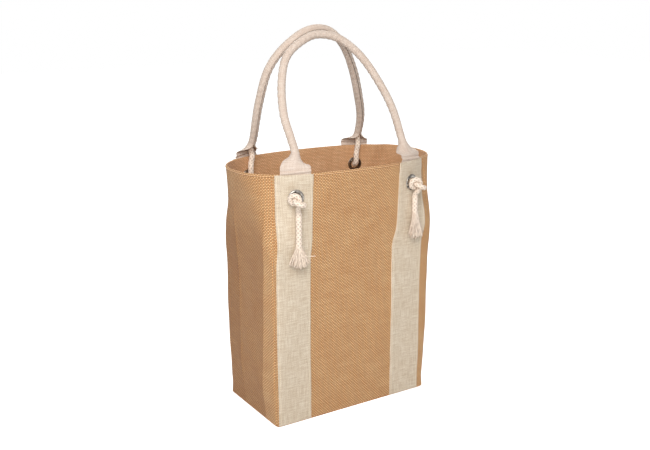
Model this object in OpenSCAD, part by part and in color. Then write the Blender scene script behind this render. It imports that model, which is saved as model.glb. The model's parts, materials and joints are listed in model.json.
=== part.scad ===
// Bottle carrier: a tall jute bag with a stiff base, egg-crate dividers for six bottles, canvas stripes,
// and two padded rope handles that pass through eyelets and end in knots with frayed tails.
// Millimetres, +Z up. The origin is on the ground under the middle of the base, and the front faces -Y.

/* [Bag] */
// Height of the bag from the ground to the rim
bag_h = 400; // [350:5:440]
// Length of the base
base_l = 288; // [260:2:330]
// Depth of the base
base_d = 160; // [140:2:190]
// How far each end of the rim bows out past the base
end_spread = 26; // [10:1:34]
// How far the front and the back of the rim bow out past the base
side_spread = 16; // [6:1:22]
// How far each end wall swells at half height
end_belly = 2.5; // [0:0.5:5]
// How far the front and back walls swell at half height
side_belly = 4; // [0:0.5:6]

/* [Cloth] */
// Thickness of the laminated jute
jute_t = 1.6; // [1.2:0.1:2.2]
// Thickness of the canvas in the stripes
canvas_t = 1; // [0.6:0.1:1.4]
// Depth of the facing folded inside the rim
facing_w = 62; // [56:1:80]
// Thickness of the facing
facing_t = 1.4; // [1:0.1:2]
// Air left between two layers of cloth
ply_gap = 0.2; // [0.1:0.05:0.3]

/* [Base and dividers] */
// Thickness of the jute base panel
base_t = 2; // [1.5:0.1:3]
// Thickness of the stiff board that lies in the base
board_t = 3; // [2:0.5:5]
// Height of the dividers
divider_h = 200; // [150:5:230]
// Thickness of a divider
divider_t = 2.5; // [1.5:0.1:4]
// Room between an inner piece and the walls, and in the divider slots
inner_gap = 0.6; // [0.4:0.1:1]

/* [Stripes and eyelets] */
// Width of a canvas stripe
stripe_w = 58; // [50:1:62]
// Distance from the side seam to the outer edge of a stripe
stripe_margin = 8; // [7:0.5:20]
// How far the front stripes lie to the right of the middle
front_shift = -4; // [-5:1:5]
// How far the back stripes lie to the right of the middle, seen from the front
back_shift = 2; // [-5:1:5]
// How far the eyelets and the handles sit inward of the stripes' middles
fitting_inset = 2; // [0:0.5:5]
// Diameter of the hole through an eyelet
eyelet_hole_d = 14; // [12:0.5:15]
// Diameter of an eyelet's flange
flange_d = 25; // [23:0.5:28]
// Height of an eyelet's rolled flange
flange_h = 1.8; // [1.2:0.1:2.4]
// Thickness of the metal in an eyelet
metal_t = 0.6; // [0.4:0.1:0.8]
// How far the front eyelets sit below the rim
front_drop = 35; // [32:1:45]
// How far the back eyelets sit below the rim
back_drop = 33; // [32:1:45]

/* [Handles] */
// Outer diameter of the canvas sleeve round the rope
sleeve_d = 13; // [12:0.5:15]
// Thickness of the sleeve
sleeve_t = 1; // [0.8:0.1:1.2]
// Width of the sleeve's flat end
tab_w = 46; // [40:1:48]
// How far the sleeve's flat end stands above the rim, up to its crease
tab_stand = 5; // [4:0.5:8]
// How far the sleeve's flat end reaches down behind the stripe
tab_tuck = 15; // [10:1:15]
// Height over which the flat end rolls up into a tube
roll_h = 34; // [26:1:40]
// Length of the front handle from the crease to its top
front_rise = 202; // [180:1:206]
// Length of the back handle from the crease to its top
back_rise = 213; // [208:1:225]
// Air left between the two handles where they lean together over the bag
meet_gap = 3; // [2:0.5:8]

/* [Rope] */
// Diameter of the braided rope
rope_d = 9.4; // [8:0.2:10]
// Length of the rope's left tails below their knots
left_tail_h = 80; // [60:1:95]
// Length of the rope's right tails below their knots
right_tail_h = 67; // [60:1:95]
// Length of the frayed end
fray_h = 28; // [18:1:36]
// Width of the frayed end
fray_w = 27; // [16:1:32]
// Thickness of the frayed end
fray_t = 11; // [10:0.5:12]

/* [Hidden] */

jute_color = "#b98a55";
inner_jute_color = "#a67c4c";
canvas_color = "#d8c9a6";
sleeve_color = "#d9c5a8";
rope_color = "#e9dccb";
metal_color = "#b9bab8";
board_color = "#8a6f4f";

// Share of the height where the walls start to open towards the rim
open_share = 0.55;
// How square the plan is at the base, in the body and at the rim, as the power of its curve
base_power = 40;
body_power = 9;
rim_power = 2.5;
// Share of the height over which the base's tight corners relax
relax_share = 0.15;
// Shares of the height where the walls bend
level_shares = [0.04, 0.1, 0.2, 0.35, 0.5, 0.6, 0.7, 0.78, 0.84, 0.885];
// How far the face panels wrap round the corners to their seams
seam_wrap = 3;
// Where a face panel bends round the corner, as a share of the way from its stripe to its seam
corner_share = 0.6;
// How thick the rope stays where the knot squeezes it
squeeze_share = 0.75;
// Straight steps in a quarter of a plan curve, across a stripe and round a tube
quarter_steps = 48;
stripe_steps = 4;
tube_sides = 8;
sleeve_steps = 11;
// Height over which a stripe rises over the tab behind it
stripe_lift_h = 3.5;
// Share of a full turn that the rolled sleeve closes
roll_share = 0.97;
// Length over which a handle's end turns upright
upright_h = 14;
// Air at the crease, and between the two lengths of rope at the joint
crease_gap = 0.5;
// Air between a knot's end and the round top of its tail
tail_gap = 0.25;
// Room between a flange and the cloth that it is set on, and between a washer and the curved facing
seat_gap = 0.4;
washer_gap = 1.1;
// Room round a barrel in the cloth
barrel_gap = 0.3;
// Height of the washer inside the wall
washer_h = 1.2;
// Width of a barrel's rolled end
roll_w = 1.4;
// Room between the rope and what it passes
rope_gap = 0.6;
// Distance over which the wall's slope is measured
probe = 1;
overrun = 1;
$fn = 64;

// Places along a handle: across, from the left foot at -1 to the right foot at 1, and up, from 0 to 1
front_path_shares = [
    [-1, 0], [-0.98, 0.05], [-0.945, 0.13], [-0.97, 0.24], [-1.01, 0.42], [-0.945, 0.65],
    [-0.77, 0.85], [-0.4, 0.975], [-0.11, 1], [0.21, 0.95], [0.52, 0.8], [0.76, 0.57],
    [0.89, 0.37], [0.945, 0.14], [0.98, 0.05], [1, 0]
];
back_path_shares = [
    [-1, 0], [-0.98, 0.05], [-0.955, 0.14], [-0.96, 0.28], [-0.955, 0.44], [-0.9, 0.67],
    [-0.73, 0.83], [-0.44, 0.96], [-0.16, 1], [0.1, 0.96], [0.36, 0.835], [0.6, 0.645],
    [0.82, 0.43], [0.97, 0.24], [1.02, 0.06], [1, 0]
];
steps_per_share = 3;
// Places along the overhand knot in rope diameters: right and up from the eyelet's middle, and out from where
// the rope lies against the flange
knot_shares = [
    [-0.021, -0.011, -0.782], [-0.085, 0.085, -0.388], [-0.223, 0.053, -0.005], [-0.372, 0.021, 0.378],
    [-0.543, -0.032, 0.739], [-0.66, -0.138, 1.122], [-0.628, -0.255, 1.505], [-0.415, -0.404, 1.814],
    [-0.074, -0.553, 1.973], [0.309, -0.681, 1.931], [0.628, -0.766, 1.697], [0.798, -0.809, 1.335],
    [0.777, -0.798, 0.931], [0.574, -0.777, 0.58], [0.245, -0.766, 0.346], [-0.149, -0.787, 0.239],
    [-0.553, -0.734, 0.197], [-0.915, -0.532, 0.197], [-1.149, -0.213, 0.25], [-1.223, 0.16, 0.378],
    [-1.106, 0.5, 0.58], [-0.84, 0.702, 0.803], [-0.489, 0.713, 1.016], [-0.16, 0.532, 1.176],
    [0.064, 0.191, 1.239], [0.117, -0.202, 1.229], [0.053, -0.606, 1.176], [-0.021, -0.989, 1.069],
    [-0.021, -1.34, 0.846], [0.021, -1.606, 0.537], [0.074, -1.883, 0.239]
];

// General functions

function blend(a, b, share) = a + (b - a) * share;
function clamped(value) = min(max(value, 0), 1);
function eased(value) = let (c = clamped(value)) c * c * (3 - 2 * c);
function unit(v) = v / norm(v);
function flat(lists) = [for (list = lists) each list];
function reversed(list) = [for (k = [len(list) - 1:-1:0]) list[k]];
function running_length(points) = [
    for (k = 0, run = 0; k < len(points); k = k + 1,
        run = run + (k < len(points) ? norm(points[k] - points[k - 1]) : 0)) run
];
function directions(points) = let (last = len(points) - 1) [
    for (k = [0:last]) unit(points[min(k + 1, last)] - points[max(k - 1, 0)])
];

// A smooth curve through all the points, with the given steps between two of them
function curve_point(p0, p1, p2, p3, t) =
    (2 * p1 + (p2 - p0) * t + (2 * p0 - 5 * p1 + 4 * p2 - p3) * t * t
        + (3 * p1 - p0 - 3 * p2 + p3) * t * t * t) / 2;
function smooth_curve(points, steps) = let (last = len(points) - 1) concat(
    [for (k = [0:last - 1], step = [0:steps - 1]) curve_point(
        k > 0 ? points[k - 1] : 2 * points[0] - points[1], points[k], points[k + 1],
        k + 2 <= last ? points[k + 2] : 2 * points[last] - points[last - 1], step / steps)],
    [points[last]]
);

// The bag's wall: a plan curve that changes from a sharp rectangle at the base to an oval at the rim

function opening(z) = pow(clamped((z / bag_h - open_share) / (1 - open_share)), 2);
function swell(z) = sin(180 * clamped(z / bag_h));
function half_length(z) = base_l / 2 + end_belly * swell(z) + end_spread * opening(z);
function half_depth(z) = base_d / 2 + side_belly * swell(z) + side_spread * opening(z);
function plan_power(z) = 1 / blend(
    blend(1 / base_power, 1 / body_power, eased(z / bag_h / relax_share)), 1 / rim_power, opening(z));

// One quarter of the plan at a height, from the middle of the front to the middle of an end
function plan(z) = let (
    a = half_length(z), b = half_depth(z), power = plan_power(z),
    quarter = [for (k = [0:quarter_steps]) let (turn = 90 * k / quarter_steps)
        [a * pow(sin(turn), 2 / power), b * pow(cos(turn), 2 / power)]],
    run = running_length(quarter)
) [
    run[quarter_steps], [for (k = [0:quarter_steps]) [run[k], quarter[k].x]],
    [for (k = [0:quarter_steps]) [run[k], quarter[k].y]], a, b, power
];

// A point of the wall, s along the plan from the middle of the front to the right, and out from its face
function wall_point(cut, z, s, out) = let (
    round_trip = 4 * cut[0], along = ((s % round_trip) + round_trip) % round_trip,
    side = floor(along / cut[0]), rest = along - side * cut[0],
    from_front = side % 2 == 0 ? rest : cut[0] - rest,
    x = lookup(from_front, cut[1]), y = lookup(from_front, cut[2]),
    normal = unit([pow(x / cut[3], cut[5] - 1) / cut[3], pow(y / cut[4], cut[5] - 1) / cut[4]]),
    right = side < 2 ? 1 : -1, back = side == 1 || side == 2 ? 1 : -1
) [right * (x + out * normal.x), back * (y + out * normal.y), z];
function wall_at(z, s, out) = wall_point(plan(min(z, bag_h)), z, s, out);

// Where a wall seam lies along the plan: the panels share its length as the base's sides do
seam_share = base_l / (base_l + base_d);

// The wall's own directions at a place: the point, rightwards, upwards and outwards
function wall_frame(z, s) = let (
    right = unit(wall_at(z, s + probe, 0) - wall_at(z, s - probe, 0)),
    out = unit(cross(right, wall_at(z + probe, s, 0) - wall_at(z - probe, s, 0)))
) [wall_at(z, s, 0), right, cross(out, right), out];
// Where the seams between faces and gussets run, and the stripes beside them
function seam(cut) = seam_share * cut[0] + seam_wrap;
stripe_reach = seam(plan(0)) - stripe_margin - stripe_w / 2;
function stripe_middle(shift, side) = shift + side * stripe_reach;
function fitting_middle(shift, side) = shift + side * (stripe_reach - fitting_inset);

function in_frame(frame, p) = frame[0] + frame[1] * p.x + frame[2] * p.y + frame[3] * p.z;

levels = concat(
    [base_t], [for (share = level_shares) share * bag_h],
    [bag_h - tab_tuck - ply_gap - stripe_lift_h, bag_h - tab_tuck - ply_gap, bag_h]
);
plans = [for (z = levels) plan(z)];

// Solids from grids of points

// A sheet between an outer and an inner grid of points; a looped sheet joins its last column to its first.
// Its faces are split along the other diagonal from the column flip_from on, as a mirrored sheet's are.
module sheet_between(outer, inner, looped = false, flip_from = undef) {
    rows = len(outer);
    columns = len(outer[0]);
    count = rows * columns;
    spans = looped ? columns : columns - 1;
    faces = concat(
        [for (r = [0:rows - 2], c = [0:spans - 1]) let (
            a = r * columns + c, b = r * columns + (c + 1) % columns, up = columns,
            flipped = !is_undef(flip_from) && c >= flip_from
        ) each flipped ? [
            [a, a + up, b], [b, a + up, b + up],
            [count + a, count + b, count + a + up], [count + b, count + b + up, count + a + up]
        ] : [
            [a, a + up, b + up], [a, b + up, b],
            [count + a, count + b + up, count + a + up], [count + a, count + b, count + b + up]
        ]],
        [for (c = [0:spans - 1]) let (b = (c + 1) % columns, top = (rows - 1) * columns) each [
            [c, b, count + b], [c, count + b, count + c],
            [top + c, top + count + b, top + b], [top + c, top + count + c, top + count + b]
        ]],
        looped ? [] : [for (r = [0:rows - 2]) let (a = r * columns, z = a + columns - 1, up = columns) each [
            [a, count + a, count + a + up], [a, count + a + up, a + up],
            [z, z + up, count + z + up], [z, count + z + up, count + z]
        ]]
    );
    polyhedron(points = concat(flat(outer), flat(inner)), faces = faces);
}

// A solid through closed rings of points, with flat ends
module solid_through(rings) {
    sides = len(rings[0]);
    last = (len(rings) - 1) * sides;
    faces = concat(
        [for (r = [0:len(rings) - 2], k = [0:sides - 1]) let (
            a = r * sides + k, b = r * sides + (k + 1) % sides
        ) each [[a, b, b + sides], [a, b + sides, a + sides]]],
        [for (k = [1:sides - 2]) [0, k + 1, k]],
        [for (k = [1:sides - 2]) [last, last + k, last + k + 1]]
    );
    polyhedron(points = flat(rings), faces = faces);
}

// A round tube's rings along a curve, each turned from the one before without twist
function tube_rings(points, radii, start_side) = let (
    ahead = directions(points), last = len(points) - 1,
    sides = [for (k = 0, v = start_side; k <= last; k = k + 1,
        v = unit(v - ahead[min(k, last)] * (v * ahead[min(k, last)]))) v]
) [for (k = [0:last]) let (v = unit(sides[k] - ahead[k] * (sides[k] * ahead[k])), w = cross(ahead[k], v))
    [for (n = [0:tube_sides - 1]) let (turn = 360 * n / tube_sides)
        points[k] + (is_list(radii) ? radii[k] : radii) * (v * cos(turn) + w * sin(turn))]];

// Walls

function stripe_columns(middle) = [
    for (k = [0:stripe_steps]) middle + stripe_w * (k / stripe_steps - 0.5)
];
function panel_columns(cut, shift) = let (
    left = stripe_columns(stripe_middle(shift, -1)), right = stripe_columns(stripe_middle(shift, 1))
) concat(
    [-seam(cut), blend(left[0], -seam(cut), corner_share)], left,
    [for (k = [1:3]) shift + (2 * stripe_reach - stripe_w) * (k / 4 - 0.5)],
    right, [blend(right[stripe_steps], seam(cut), corner_share), seam(cut)]
);
gusset_steps = 6;
function gusset_columns(cut) = [
    for (k = [0:gusset_steps]) blend(seam(cut), 2 * cut[0] - seam(cut), k / gusset_steps)
];
function wall_grid(rows, columns, out) = [
    for (r = rows) [for (s = columns[r]) wall_point(plans[r], levels[r], s, is_list(out) ? out[r] : out)]
];
all_rows = [0:len(levels) - 1];

module wall_sheet(columns, out, inside) {
    sheet_between(wall_grid(all_rows, columns, out), wall_grid(all_rows, columns, inside));
}

module eyelet_holes(shift, drop) {
    for (side = [-1, 1]) eyelet_seat(shift, side, drop) cylinder(
        d = eyelet_hole_d + 2 * (metal_t + barrel_gap),
        h = 2 * (facing_t + jute_t + flange_d / 2), center = true);
}

// Carries its children to an eyelet's place, with +Z pointing out of the bag
module eyelet_seat(shift, side, drop) {
    frame = eyelet_frame(shift, side, drop);
    translate(frame[0])
        rotate([0, acos(frame[3].z), atan2(frame[3].y, frame[3].x)])
            children();
}
function eyelet_frame(shift, side, drop) = wall_frame(bag_h - drop, fitting_middle(shift, side));

module face_panel(shift, drop) {
    color(jute_color) difference() {
        wall_sheet([for (cut = plans) panel_columns(cut, shift)], 0, -jute_t);
        eyelet_holes(shift, drop);
    }
}
module front_panel() face_panel(front_shift, front_drop);
module back_panel() mirror([0, 1, 0]) face_panel(back_shift, back_drop);

module right_gusset() {
    color(jute_color) wall_sheet([for (cut = plans) gusset_columns(cut)], 0, -jute_t);
}
module left_gusset() mirror([1, 0, 0]) right_gusset();

// The facing: one band round the inside of the rim, with a hole behind each eyelet
facing_out = -jute_t - ply_gap;
module rim_facing() {
    lowest = bag_h - facing_w;
    heights = concat([lowest], [for (z = levels) if (z > lowest + stripe_lift_h) z]);
    cuts = [for (z = heights) plan(z)];
    function around(cut) = let (half = 2 * cut[0]) concat(
        panel_columns(cut, front_shift),
        [for (k = [1:gusset_steps - 1]) gusset_columns(cut)[k]],
        [for (s = reversed(panel_columns(cut, back_shift))) half - s],
        [for (k = [1:gusset_steps - 1]) half + gusset_columns(cut)[k]]
    );
    function band(out) = [
        for (k = [0:len(heights) - 1]) [for (s = around(cuts[k])) wall_point(cuts[k], heights[k], s, out)]
    ];
    color(inner_jute_color) difference() {
        sheet_between(band(facing_out), band(facing_out - facing_t), looped = true,
            flip_from = len(panel_columns(cuts[0], front_shift)) + gusset_steps - 1);
        eyelet_holes(front_shift, front_drop);
        mirror([0, 1, 0]) eyelet_holes(back_shift, back_drop);
    }
}

// Base

base_outline_steps = 96;
module base_outline(out) {
    cut = plan(0);
    polygon([for (k = [0:base_outline_steps - 1])
        let (p = wall_point(cut, 0, 4 * cut[0] * k / base_outline_steps, out)) [p.x, p.y]]);
}
module base_panel() {
    color(jute_color) linear_extrude(base_t) base_outline(0);
}
module base_board() {
    color(board_color) translate([0, 0, base_t]) linear_extrude(board_t)
        base_outline(-jute_t - inner_gap);
}

// Dividers: each is cut to the walls, and they cross in half-depth slots

divider_foot = base_t + board_t;
divider_steps = 6;
function divider_heights() = [for (k = [0:divider_steps]) divider_foot + divider_h * k / divider_steps];
cell_l = base_l / 3;

module long_divider() {
    reach = [for (z = divider_heights()) [half_length(z) - jute_t - inner_gap, z]];
    slot_w = divider_t + 2 * inner_gap;
    color(inner_jute_color) rotate([90, 0, 0]) linear_extrude(divider_t, center = true) difference() {
        polygon(concat(reach, reversed([for (p = reach) [-p.x, p.y]])));
        for (side = [-1, 1]) translate([side * cell_l / 2 - slot_w / 2, divider_foot + divider_h / 2])
            square([slot_w, divider_h / 2 + overrun]);
    }
}
module cross_divider(side) {
    reach = [for (z = divider_heights()) [half_depth(z) - jute_t - inner_gap, z]];
    slot_w = divider_t + 2 * inner_gap;
    color(inner_jute_color) translate([side * cell_l / 2, 0, 0])
        rotate([90, 0, 90]) linear_extrude(divider_t, center = true) difference() {
            polygon(concat(reach, reversed([for (p = reach) [-p.x, p.y]])));
            translate([-slot_w / 2, divider_foot - overrun])
                square([slot_w, divider_h / 2 + overrun + inner_gap]);
        }
}
module left_cross_divider() cross_divider(-1);
module right_cross_divider() cross_divider(1);

// Stripes: canvas strips on the wall, lifted at the top over the handles' tabs

stripe_lift = sleeve_t + ply_gap;
module stripe(shift, side, drop) {
    columns = [for (cut = plans) stripe_columns(stripe_middle(shift, side))];
    inside = [for (r = all_rows) ply_gap + (levels[r] > bag_h - tab_tuck - stripe_lift_h ? stripe_lift : 0)];
    color(canvas_color) difference() {
        wall_sheet(columns, [for (out = inside) out + canvas_t], inside);
        eyelet_holes(shift, drop);
    }
}
module front_left_stripe() stripe(front_shift, -1, front_drop);
module front_right_stripe() stripe(front_shift, 1, front_drop);
module back_left_stripe() mirror([0, 1, 0]) stripe(back_shift, -1, back_drop);
module back_right_stripe() mirror([0, 1, 0]) stripe(back_shift, 1, back_drop);

// Eyelets: a rolled flange with a barrel, which is set over a washer inside the bag

hole_r = eyelet_hole_d / 2;
stripe_face = ply_gap + canvas_t;
inner_face = -jute_t - ply_gap - facing_t;
washer_top = inner_face - washer_gap;
roll_steps = 8;

module eyelet(shift, side, drop) {
    flange_mid = (hole_r + flange_d / 2) / 2;
    flange_half = (flange_d / 2 - hole_r) / 2;
    flange_z = stripe_face + seat_gap;
    barrel_end = washer_top - washer_h - metal_t;
    color(metal_color) eyelet_seat(shift, side, drop) rotate_extrude() union() {
        translate([flange_mid, flange_z]) polygon([for (k = [0:roll_steps]) let (turn = 180 * k / roll_steps)
            [flange_half * cos(turn), flange_h * sin(turn)]]);
        translate([hole_r, barrel_end]) square([metal_t, flange_z - barrel_end + flange_h / 4]);
        translate([hole_r, barrel_end - metal_t / 2]) square([metal_t + roll_w, metal_t]);
    }
}
module front_left_eyelet() eyelet(front_shift, -1, front_drop);
module front_right_eyelet() eyelet(front_shift, 1, front_drop);
module back_left_eyelet() mirror([0, 1, 0]) eyelet(back_shift, -1, back_drop);
module back_right_eyelet() mirror([0, 1, 0]) eyelet(back_shift, 1, back_drop);

module washer(shift, side, drop) {
    bore_r = hole_r + metal_t + barrel_gap / 2;
    rim_r = flange_d / 2 - metal_t;
    color(metal_color) eyelet_seat(shift, side, drop) rotate_extrude() polygon([
        [bore_r, washer_top], [rim_r, washer_top], [rim_r, washer_top - washer_h / 2],
        [rim_r - washer_h / 2, washer_top - washer_h], [bore_r, washer_top - washer_h]
    ]);
}
module front_left_washer() washer(front_shift, -1, front_drop);
module front_right_washer() washer(front_shift, 1, front_drop);
module back_left_washer() mirror([0, 1, 0]) washer(back_shift, -1, back_drop);
module back_right_washer() mirror([0, 1, 0]) washer(back_shift, 1, back_drop);

// Tabs: the sleeve's flat ends, sewn between stripe and wall up to the crease above the rim

crease_z = bag_h + tab_stand;

// A point over the flat facet between two of a stripe's columns, so that the tab lies close to it
function facet_point(z, columns, s, out) = let (
    k = max(concat([0], [for (n = [0:len(columns) - 2]) if (s >= columns[n]) n]))
) blend(wall_at(z, columns[k], out), wall_at(z, columns[k + 1], out),
    (s - columns[k]) / (columns[k + 1] - columns[k]));

module tab(shift, side) {
    heights = [bag_h - tab_tuck, bag_h, crease_z];
    facets = stripe_columns(stripe_middle(shift, side));
    low = fitting_middle(shift, side) - tab_w / 2;
    high = low + tab_w;
    columns = concat([low], [for (s = facets) if (s > low + probe && s < high - probe) s], [high]);
    function grid(out) = [for (z = heights) [for (s = columns) facet_point(z, facets, s, out)]];
    color(sleeve_color) sheet_between(grid(ply_gap + sleeve_t), grid(ply_gap));
}
module front_left_tab() tab(front_shift, -1);
module front_right_tab() tab(front_shift, 1);
module back_left_tab() mirror([0, 1, 0]) tab(back_shift, -1);
module back_right_tab() mirror([0, 1, 0]) tab(back_shift, 1);

// Handles: a strip of canvas that is flat at its feet and rolled round the rope between them

roll_r = (sleeve_d - sleeve_t) / 2;
roll_w_full = 2 * PI * roll_r * roll_share;
foot_z = crease_z + crease_gap;

function foot_out(shift, side) = wall_frame(bag_h - probe, fitting_middle(shift, side))[3];
function level_out(shift, side) = let (out = foot_out(shift, side)) unit([out.x, out.y, 0]);
function foot_middle(shift, side) = let (
    p = wall_at(bag_h, fitting_middle(shift, side), ply_gap + sleeve_t / 2)
) [p.x, p.y, foot_z] - level_out(shift, side) * roll_r;

// How far a handle leans in from its feet, so that its top almost meets the other handle's
function lean(shift, rise) = let (
    foot_y = (foot_middle(shift, -1).y + foot_middle(shift, 1).y) / 2
) asin((-foot_y - (sleeve_d + meet_gap) / 2) / rise);

// The line through the middle of the rolled sleeve, from the left foot over the top to the right foot
function handle_line(shift, rise, shares) = let (
    left = foot_middle(shift, -1), right = foot_middle(shift, 1), tilt = lean(shift, rise)
) smooth_curve([for (share = shares) blend(left, right, (share.x + 1) / 2)
    + rise * share.y * [0, sin(tilt), cos(tilt)]], steps_per_share);

module handle_sleeve(shift, rise, shares) {
    line = handle_line(shift, rise, shares);
    run = running_length(line);
    last = len(line) - 1;
    ahead = directions(line);
    tilt = lean(shift, rise);
    leaned = [0, -cos(tilt), sin(tilt)];
    function section(k, half) = let (
        from_foot = min(run[k], run[last] - run[k]), near_left = run[k] < run[last] / 2,
        side = near_left ? -1 : 1, upright = [0, 0, -side],
        rolled = eased(from_foot / roll_h),
        along = unit(blend(upright, ahead[k], eased(from_foot / upright_h))),
        raw_out = unit(blend(level_out(shift, side), leaned, rolled)),
        out = unit(raw_out - along * (raw_out * along)),
        across = cross(along, out),
        width = blend(tab_w, roll_w_full, rolled),
        sweep = max(360 * roll_share * rolled, 2),
        radius = width / sweep * 180 / PI
    ) [for (n = [0:sleeve_steps]) let (turn = sweep * (n / sleeve_steps - 0.5))
        line[k] + out * (roll_r - radius) + (radius + half) * (across * sin(turn) + out * cos(turn))];
    color(sleeve_color) sheet_between(
        [for (k = [0:last]) section(k, sleeve_t / 2)], [for (k = [0:last]) section(k, -sleeve_t / 2)]);
}
module front_handle_sleeve() handle_sleeve(front_shift, front_rise, front_path_shares);
module back_handle_sleeve() mirror([0, 1, 0]) handle_sleeve(back_shift, back_rise, back_path_shares);

module handle_rope(shift, rise, shares) {
    line = handle_line(shift, rise, shares);
    inner = [for (k = [steps_per_share:len(line) - 1 - steps_per_share]) line[k]];
    color(rope_color) solid_through(tube_rings(inner, rope_d / 2, [0, 1, 0]));
}
module front_handle_rope() handle_rope(front_shift, front_rise, front_path_shares);
module back_handle_rope() mirror([0, 1, 0]) handle_rope(back_shift, back_rise, back_path_shares);

// Rope ends: down inside the rim, out through the eyelet, and tied in an overhand knot

rope_r = rope_d / 2;
squeezed_r = rope_r * squeeze_share;
bend_r = hole_r + 2 * metal_t;
run_out = inner_face - rope_r - rope_gap;
low_run_out = washer_top - washer_h - 2 * metal_t - rope_r - rope_gap;
near_turn = stripe_face + seat_gap + flange_h + squeezed_r + rope_gap;
// Where the rope leaves the knot, in rope diameters right and up from the eyelet's middle
knot_end_shares = [0.21, -2.62];
bend_steps = 3;
curve_steps = 2;

function knot_end(frame) = in_frame(frame, concat(
    rope_d * knot_end_shares, [stripe_face + seat_gap + flange_h + rope_r]
));
function rope_inside(shift, rise, shares, side, drop) = let (
    line = handle_line(shift, rise, shares),
    from_foot = side < 0 ? line : reversed(line),
    joint = from_foot[steps_per_share],
    away = directions(from_foot)[steps_per_share],
    s = fitting_middle(shift, side)
) [
    joint - away * crease_gap,
    joint - away * (crease_gap + rope_r),
    wall_at(crease_z, s, (run_out + facing_out) / 2 - rope_r / 2),
    wall_at(bag_h, s, run_out - rope_gap),
    wall_at(bag_h - rope_d, s, run_out - rope_gap),
    in_frame(eyelet_frame(shift, side, drop), [0, bend_r + rope_d, low_run_out])
];
function rope_through(frame) = [
    for (k = [0:bend_steps]) let (turn = 90 * k / bend_steps) in_frame(frame, [
        0, bend_r * (1 - sin(turn)), low_run_out + bend_r * (1 - cos(turn))
    ])
];
function rope_knot(frame) = concat(
    [for (share = knot_shares) in_frame(frame, rope_d * share + [0, 0, near_turn])],
    [knot_end(frame) + [0, 0, squeezed_r], knot_end(frame)]
);

module knot(shift, rise, shares, side, drop) {
    frame = eyelet_frame(shift, side, drop);
    loose = concat(rope_inside(shift, rise, shares, side, drop), rope_through(frame));
    tied = rope_knot(frame);
    loose_steps = curve_steps * len(loose);
    all_smooth = smooth_curve(concat(loose, tied), curve_steps);
    curve = concat([for (k = [0:loose_steps - 1]) all_smooth[k]], tied);
    last = len(curve) - 1;
    radii = [for (k = [0:last]) k < loose_steps - 2 || k > last - 2 ? rope_r : squeezed_r];
    color(rope_color) solid_through(tube_rings(curve, radii, [1, 0, 0]));
}
module front_left_knot() knot(front_shift, front_rise, front_path_shares, -1, front_drop);
module front_right_knot() knot(front_shift, front_rise, front_path_shares, 1, front_drop);
module back_left_knot() mirror([0, 1, 0]) knot(back_shift, back_rise, back_path_shares, -1, back_drop);
module back_right_knot() mirror([0, 1, 0]) knot(back_shift, back_rise, back_path_shares, 1, back_drop);

// Tails: the rope's last stretch, hanging below its knot and spread out at the frayed end

tail_sides = 12;
// Shares of the fray's length below its neck, and of its spread there
fray_shares = [[0, 0], [0.2, 0.18], [0.45, 0.62], [0.7, 0.92], [0.9, 1], [1, 0.86]];
// Share of the neck where the tail gets a ring below its round top
neck_shares = [0.5];
// Shares of a quarter turn where the round top gets a ring
dome_shares = [0.1, 0.33, 0.67, 1];

module tail(shift, side, drop) {
    frame = eyelet_frame(shift, side, drop);
    top = knot_end(frame) - [0, 0, tail_gap];
    across = unit([frame[1].x, frame[1].y, 0]);
    out = level_out(shift, side);
    neck = (side < 0 ? left_tail_h : right_tail_h) - fray_h;
    profile = concat(
        [for (share = dome_shares) let (turn = 90 * share)
            [rope_r * (1 - cos(turn)), rope_r * sin(turn), rope_r * sin(turn)]],
        [for (share = neck_shares) [share * neck, rope_r, rope_r]],
        [for (share = fray_shares) [neck + fray_h * share[0],
            blend(rope_r, fray_w / 2, share[1]), blend(rope_r, fray_t / 2, share[1])]]
    );
    color(rope_color) solid_through([for (p = profile)
        [for (n = [0:tail_sides - 1]) let (turn = 360 * n / tail_sides)
            top - [0, 0, p[0]] - across * p[1] * cos(turn) + out * p[2] * sin(turn)]]);
}
module front_left_tail() tail(front_shift, -1, front_drop);
module front_right_tail() tail(front_shift, 1, front_drop);
module back_left_tail() mirror([0, 1, 0]) tail(back_shift, -1, back_drop);
module back_right_tail() mirror([0, 1, 0]) tail(back_shift, 1, back_drop);

base_panel();
front_panel();
back_panel();
left_gusset();
right_gusset();
rim_facing();
base_board();
long_divider();
left_cross_divider();
right_cross_divider();
front_left_stripe();
front_right_stripe();
back_left_stripe();
back_right_stripe();
front_left_eyelet();
front_right_eyelet();
back_left_eyelet();
back_right_eyelet();
front_left_washer();
front_right_washer();
back_left_washer();
back_right_washer();
front_left_tab();
front_right_tab();
back_left_tab();
back_right_tab();
front_handle_sleeve();
back_handle_sleeve();
front_handle_rope();
back_handle_rope();
front_left_knot();
front_right_knot();
back_left_knot();
back_right_knot();
front_left_tail();
front_right_tail();
back_left_tail();
back_right_tail();
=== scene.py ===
"""Bottle carrier: a tall jute bag with canvas stripes, padded rope handles and knotted, frayed rope ends.

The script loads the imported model, replaces its plain soft solids with woven cloth, rolled sleeves and braided
rope, and dresses every piece with a procedural finish. Lengths are in metres.
"""

from __future__ import annotations

import json
import logging
import math
from dataclasses import dataclass
from enum import Enum
from typing import Callable, Sequence

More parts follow.
